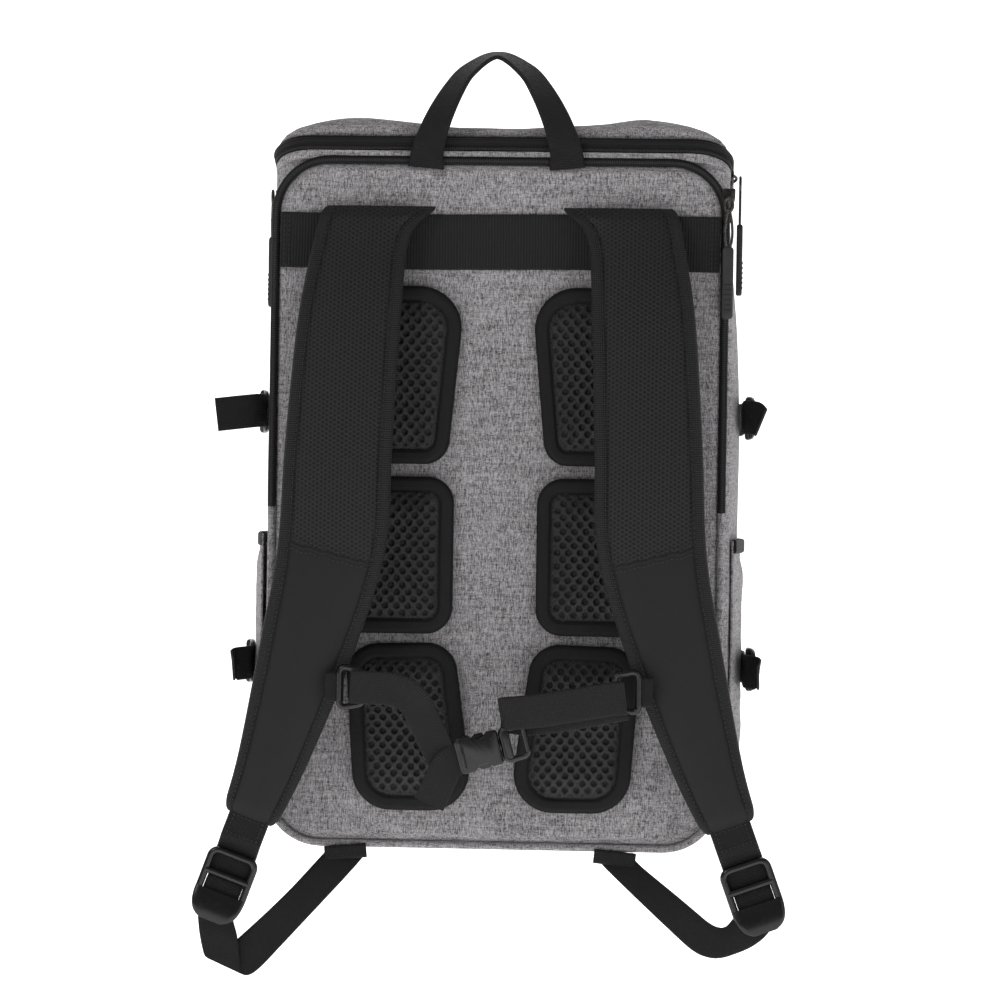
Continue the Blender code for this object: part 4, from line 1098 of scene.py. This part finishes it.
wide, thick = 0.013, 0.005
window = [(-0.0035, 0.96, 0.0015), (-0.0065, 0.74, 0.0020), (-0.0140, 0.74, 0.0020), (-0.0165, 1.00, 0.0015)]
plate = round_corners([(-0.027, -wide, 0.004)] + [(x, -wide * y, r) for x, y, r in window[::-1]]
                      + [(0.004, -wide * 0.94, 0.002), (0.004, wide * 0.94, 0.002)]
                      + [(x, wide * y, r) for x, y, r in window] + [(-0.027, wide, 0.004)], 5)
plate = even_line(plate, 160, True)
heel = plate_outline(-0.027, -0.0185, wide, wide, 0.004, 0.0015, 5, 60)
bead = plate_outline(-0.0245, -0.0215, wide * 0.8, wide * 0.8, 0.001, 0.001, 3, 40)
socket = gather("buckle_socket_moulding",
                [slab(plate, -thick, -0.0022, 0.0012, acetal), slab(plate, 0.0022, thick, 0.0012, acetal),
                 slab(heel, -thick * 0.9, thick * 0.9, 0.0015, acetal),
                 slab(bead, -thick - 0.0009, -thick + 0.0006, 0.0006, acetal)], buckle_place)
sew_on(socket, "straps", "black_plastic", "buckle_socket")
tongue = even_line(corner_box(0.0032, -0.0125, 0.0060, (0.001, 0.002), 4), 40, True)[:, ::-1]
plug_frame = plate_outline(0.0065, 0.0225, wide * 0.86, wide * 0.80, 0.003, 0.003, 5, 80)
plug_root = plate_outline(0.0050, 0.0120, wide * 0.85, wide * 0.85, 0.002, 0.002, 4, 60)
plug = gather("buckle_plug_moulding",
              [ring_of(plug_frame, 0.0022, 0.0024, acetal), slab(tongue, -0.0014, 0.0014, 0.0008, acetal),
               slab(plug_root, -0.0022, 0.0022, 0.0012, acetal)], buckle_place)
sew_on(plug, "plug", "black_plastic", "buckle_plug")
for prong_name, mirror in (("upper", 1), ("lower", -1)):
    outline = round_corners([(0.0040, mirror * 0.0064, 0.0006), (-0.0145, mirror * 0.0064, 0.0006),
                             (-0.0155, mirror * 0.0095, 0.0006), (-0.0120, mirror * 0.0127, 0.0012),
                             (-0.0060, mirror * 0.0127, 0.0010), (-0.0050, mirror * 0.0088, 0.0008),
                             (0.0040, mirror * 0.0088, 0.0008)], 3)
    prong = gather(f"buckle_prong_{prong_name}_moulding",
                   [slab(even_line(outline, 70, True), -0.0014, 0.0014, 0.0007, acetal)], buckle_place)
    sew_on(prong, f"prong_{prong_name}", "black_plastic", f"buckle_prong_{prong_name}")

# --- Grab handle ----------------------------------------------------------------------------
# A webbing arch with both feet sewn flat under the rear zip; its crown is folded edge-on.
handle_spread, handle_foot, handle_crown = 0.051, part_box("grab_handle")[0].z, 0.571
handle_plane = panel_low.y - 0.0024
arch = [(1.0, 0.000), (0.97, 0.014), (0.84, 0.034), (0.63, 0.055), (0.40, 0.070)]
arch_points = [(-a * handle_spread, 0.0, handle_foot + rise) for a, rise in arch]
arch_points += [(0.0, 0.0, handle_crown)] + [(-x, 0.0, z) for x, _, z in arch_points[::-1]]
arch_line = soft_line(arch_points, 150)
turn_share = np.clip(np.abs(arch_line[:, 0]) / (0.95 * handle_spread), 0, 1)
turning = math.radians(76) * np.sqrt(1 - turn_share)
flat_on = np.cross(np.gradient(arch_line, axis=0), (0, 1, 0))
flat_on /= np.linalg.norm(flat_on, axis=1)[:, None]
handle_across = flat_on * np.cos(turning)[:, None] + np.array([0, 1, 0]) * np.sin(turning)[:, None]
handle_lean = 0.006 * (arch_line[:, 2] - handle_foot) / (handle_crown - handle_foot)
handle_line = arch_line + np.stack([np.full(150, -0.003), handle_plane - handle_lean, np.zeros(150)], 1)
foot_flare = 0.0113 + 0.0016 * np.exp(-((arch_line[:, 2] - handle_foot) / 0.010) ** 2)
handle = webbing("grab_handle_webbing", handle_line, handle_across, foot_flare, 0.0032, twill_webbing)
sew_on(handle, "handle", "black_webbing", "grab_handle")

# --- Side pockets and compression straps ----------------------------------------------------
# Stretch pockets with an elastic rim, and a webbing strap with a small lock above and across each.
pocket_rear, pocket_front, pocket_foot, pocket_rim = -0.0745, 0.0465, base_corner + 0.0005, 0.225
for side_name, mirror in (("left", -1), ("right", 1)):
    rows = []
    for share in np.linspace(0, 1, 44):
        z = pocket_foot + (pocket_rim - pocket_foot) * share
        fullness = min(1.0, share / 0.05) ** 0.5
        row = []
        for along in np.linspace(0, 1, 46):
            y = pocket_rear + (pocket_front - pocket_rear) * along
            bow = math.sin(math.pi * along) ** 0.8
            gather_in = 1 - 0.22 * math.exp(-((share - 0.95) / 0.05) ** 2)
            wave = 0.0010 * rumple((mirror, y, z), 0.018, 4) * bow
            clear = max(bulge_at(mirror, y, z) + 0.0022,
                        0.0125 * bow * fullness * gather_in + 0.0015 * fullness)
            row.append((mirror * (side + 0.0004 + clear * fullness + wave), y, z))
        rows.append(row)
    pocket = sewn(f"side_pocket_{side_name}_stretch", rows, grey_cloth, wall=0.0016)
    sew_on(pocket, "bag", "grey_heather_cloth", f"side_pocket_{side_name}")
    rim_line = np.array(rows[-1]) + np.array([mirror * 0.0004, 0, -0.004])
    elastic = webbing(f"side_pocket_rim_{side_name}", rim_line, (0, 0, 1), 0.0052, 0.0038, twill_webbing)
    sew_on(elastic, "bag", "black_webbing")
    for level in ("upper", "lower"):
        node = f"side_web_{level}_{side_name}"
        web_low, web_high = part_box(node)
        height = (web_low.z + web_high.z) / 2
        reach = max(abs(web_low.x), abs(web_high.x))
        face = side + (bulge_at(mirror, -0.015, height) + 0.0032 if level == "upper" else 0.0162)
        route = [(reach, -0.0735, height - 0.004), (face + 0.009, -0.0695, height - 0.001),
                 (face + 0.0015, -0.061, height), (face, -0.050, height), (face, -0.020, height),
                 (face - 0.0005, 0.020, height),
                 (face - 0.004 if level == "upper" else face - 0.012, 0.045, height)]
        strip = webbing(f"{node}_webbing", soft_line([(mirror * x, y, z) for x, y, z in route], 90),
                        (0, -0.05, 1), 0.0122, 0.0018, twill_webbing)
        sew_on(strip, "bag", "black_webbing", node)
        turn = (Matrix.Translation((mirror * (face + 0.0036), -0.023, height))
                @ Matrix.Rotation(math.pi / 2, 4, "Z") @ Matrix.Rotation(math.pi / 2, 4, "Y"))
        lock = ladder_lock(f"side_lock_{level}_{side_name}_moulding", 0.032, 0.034, 0.0045, 0.002, turn)
        sew_on(lock, "bag", "black_plastic", f"side_lock_{level}_{side_name}")

# --- Front pocket ---------------------------------------------------------------------------
# A flat padded pocket in the same cloth, closed by a coil zip across its upper part.
pocket_low, pocket_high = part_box("front_pocket")
pocket_depth = pocket_high.y - pocket_low.y
pocket_outline = even_line(corner_box(pocket_high.x, pocket_low.z, pocket_high.z, (0.03, 0.03)), 240, True)
pocket_levels = [(0.0, 0.0), (0.0, 0.010), (0.0, 0.022)]
pocket_levels += [(0.016 * (1 - math.cos(a)), 0.022 + (pocket_depth - 0.022) * math.sin(a))
                  for a in np.linspace(0.2, math.pi / 2, 8)]
pocket_levels += [(inset, pocket_depth) for inset in (0.024, 0.035, 0.05, 0.07, 0.09, 0.11)]
front_bag = sewn("front_pocket_cloth", pillow_rows(pocket_outline, pocket_levels, pocket_low.y, 1.0),
                 grey_cloth, around=True, capped=True)
swell(front_bag, 0.006, 2.0, 0.0025)
sew_on(front_bag, "bag", "grey_heather_cloth", "front_pocket")
front_slider_low, front_slider_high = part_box("zip_slider_front")
front_zip_z = (front_slider_low.z + front_slider_high.z) / 2
front_zip_line = np.array([(x, pocket_high.y - 0.0003, front_zip_z) for x in np.linspace(-0.122, 0.122, 80)])
front_tape = webbing("front_zip_tape", front_zip_line, (0, 0, 1), 0.0075, 0.0022, zip_tape)
sew_on(front_tape, "bag", "black_lining")
front_coil = beaded("front_zip_coil", [front_zip_line + np.array([0, 0.0012, 0])], 0.0013,
                    (0.0009, 0.0044, 0.0012), (0, 1, 0), zip_nylon)
sew_on(front_coil, "bag", "black_lining")


# --- Sliders and pulls ----------------------------------------------------------------------
# Each zip has a die-cast slider in dark nickel with a bridge; from it hang a bail, a thin wire
# loop and a moulded rubber tab.
def nickel_finish(name):
    made, spot, feed = start_finish(name, "Object", specular=0.5, metallic=1.0)
    wear = spot.yarn((260, 260, 260), 4.0)
    feed(wear.tint((0.030, 0.028, 0.027), (0.13, 0.125, 0.12)), wear.spread(0.3, 0.7, 0.20, 0.38),
         wear.raised(0.0001, 0.3))
    return made


nickel = nickel_finish("dark nickel")
rubber = moulded_finish("black rubber", 0.008, 0.026, 0.50)
slope = Vector((0, math.cos(zip_slope), -math.sin(zip_slope)))
runners = {"lid_left": (Vector((-1, 0, 0)), slope), "lid_right": (Vector((1, 0, 0)), slope),
           "rear": (Vector((0, -1, 0)), Vector((0, 0, 1))), "front": (Vector((0, 1, 0)), Vector((1, 0, 0)))}
for runner, (outward, along) in runners.items():
    low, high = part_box(f"zip_slider_{runner}")
    spot = (low + high) / 2 - outward * 0.0026
    across = along.cross(outward)
    turn = Matrix.Translation(spot) @ Matrix((along, -outward, across)).transposed().to_4x4()
    body = round_corners([(0.008, -0.0048, 0.0012), (0.008, 0.0048, 0.0012), (0.001, 0.0046, 0.002),
                          (-0.008, 0.0030, 0.001), (-0.008, -0.0030, 0.001), (0.001, -0.0046, 0.002)], 4)
    bridge = [(x, -0.0026 - 0.0024 * math.sin(math.pi * share), 0)
              for share, x in zip(np.linspace(0, 1, 14), np.linspace(-0.0055, 0.0055, 14))]
    slider = gather(f"zip_slider_{runner}_casting",
                    [slab(even_line(body, 70, True), -0.0030, -0.0004, 0.0008, nickel),
                     sewn("bridge", tube_rows(bridge, 0.0013, 0.0009, (0, -1, 0), sides=10), nickel,
                          around=True, capped=True)], turn)
    sew_on(slider, f"slider_{runner}", "dark_nickel", f"zip_slider_{runner}")
    pull_low, pull_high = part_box(f"zip_pull_{runner}")
    middle = (pull_low + pull_high) / 2
    sideways = Vector((0, 1, 0)) if abs(outward.y) < 0.5 else Vector((1, 0, 0))
    turn = (Matrix.Translation((middle.x, middle.y, pull_high.z))
            @ Matrix((sideways, -outward, (0, 0, 1))).transposed().to_4x4())
    bail = [(0.0030 * math.sin(a), -0.0045 + 0.0050 * math.cos(a))
            for a in np.linspace(0, 2 * math.pi, 40, False)]
    loop = [(0.0034 * math.sin(a) * (0.35 + 0.65 * math.sin(a / 2)), -0.0215 + 0.0140 * math.cos(a))
            for a in np.linspace(0, 2 * math.pi, 60, False)]
    tab = even_line(corner_box(0.0040, -0.086, -0.034, (0.0022, 0.0030), 5), 120, True)
    ridges = [slab(even_line(corner_box(0.0030, z, z + 0.0016, (0.0006, 0.0006), 3), 30, True),
                   -0.0027, -0.0018, 0.0004, rubber) for z in np.arange(-0.081, -0.062, 0.0036)]
    metal_part = gather(f"zip_pull_{runner}_bail", [ring_of(bail, 0.0010, 0.0010, nickel),
                                                    ring_of(loop, 0.0010, 0.0010, nickel)], turn)
    sew_on(metal_part, f"pull_{runner}", "dark_nickel", f"zip_pull_{runner}")
    tab_part = gather(f"zip_pull_{runner}_tab", [slab(tab, -0.0022, 0.0022, 0.0014, rubber)] + ridges, turn)
    sew_on(tab_part, f"pull_{runner}", "black_rubber")

# --- Inside ---------------------------------------------------------------------------------
# Closed-cell foam liner, base and dividers, a stiff frame sheet and the padded sleeve wall.
foam = moulded_finish("grey foam", 0.06, 0.16, 0.9)
board = moulded_finish("stiff sheet", 0.03, 0.06, 0.45)
inside = {"frame_sheet": board, "sleeve_wall": foam, "base_foam": foam, "foam_liner_left": foam,
          "foam_liner_right": foam, "foam_liner_front": foam, "divider_left": foam, "divider_right": foam,
          "divider_cross": foam}
for node, finish in inside.items():
    for surface in bpy.data.objects[node].material_slots:
        surface.material = finish
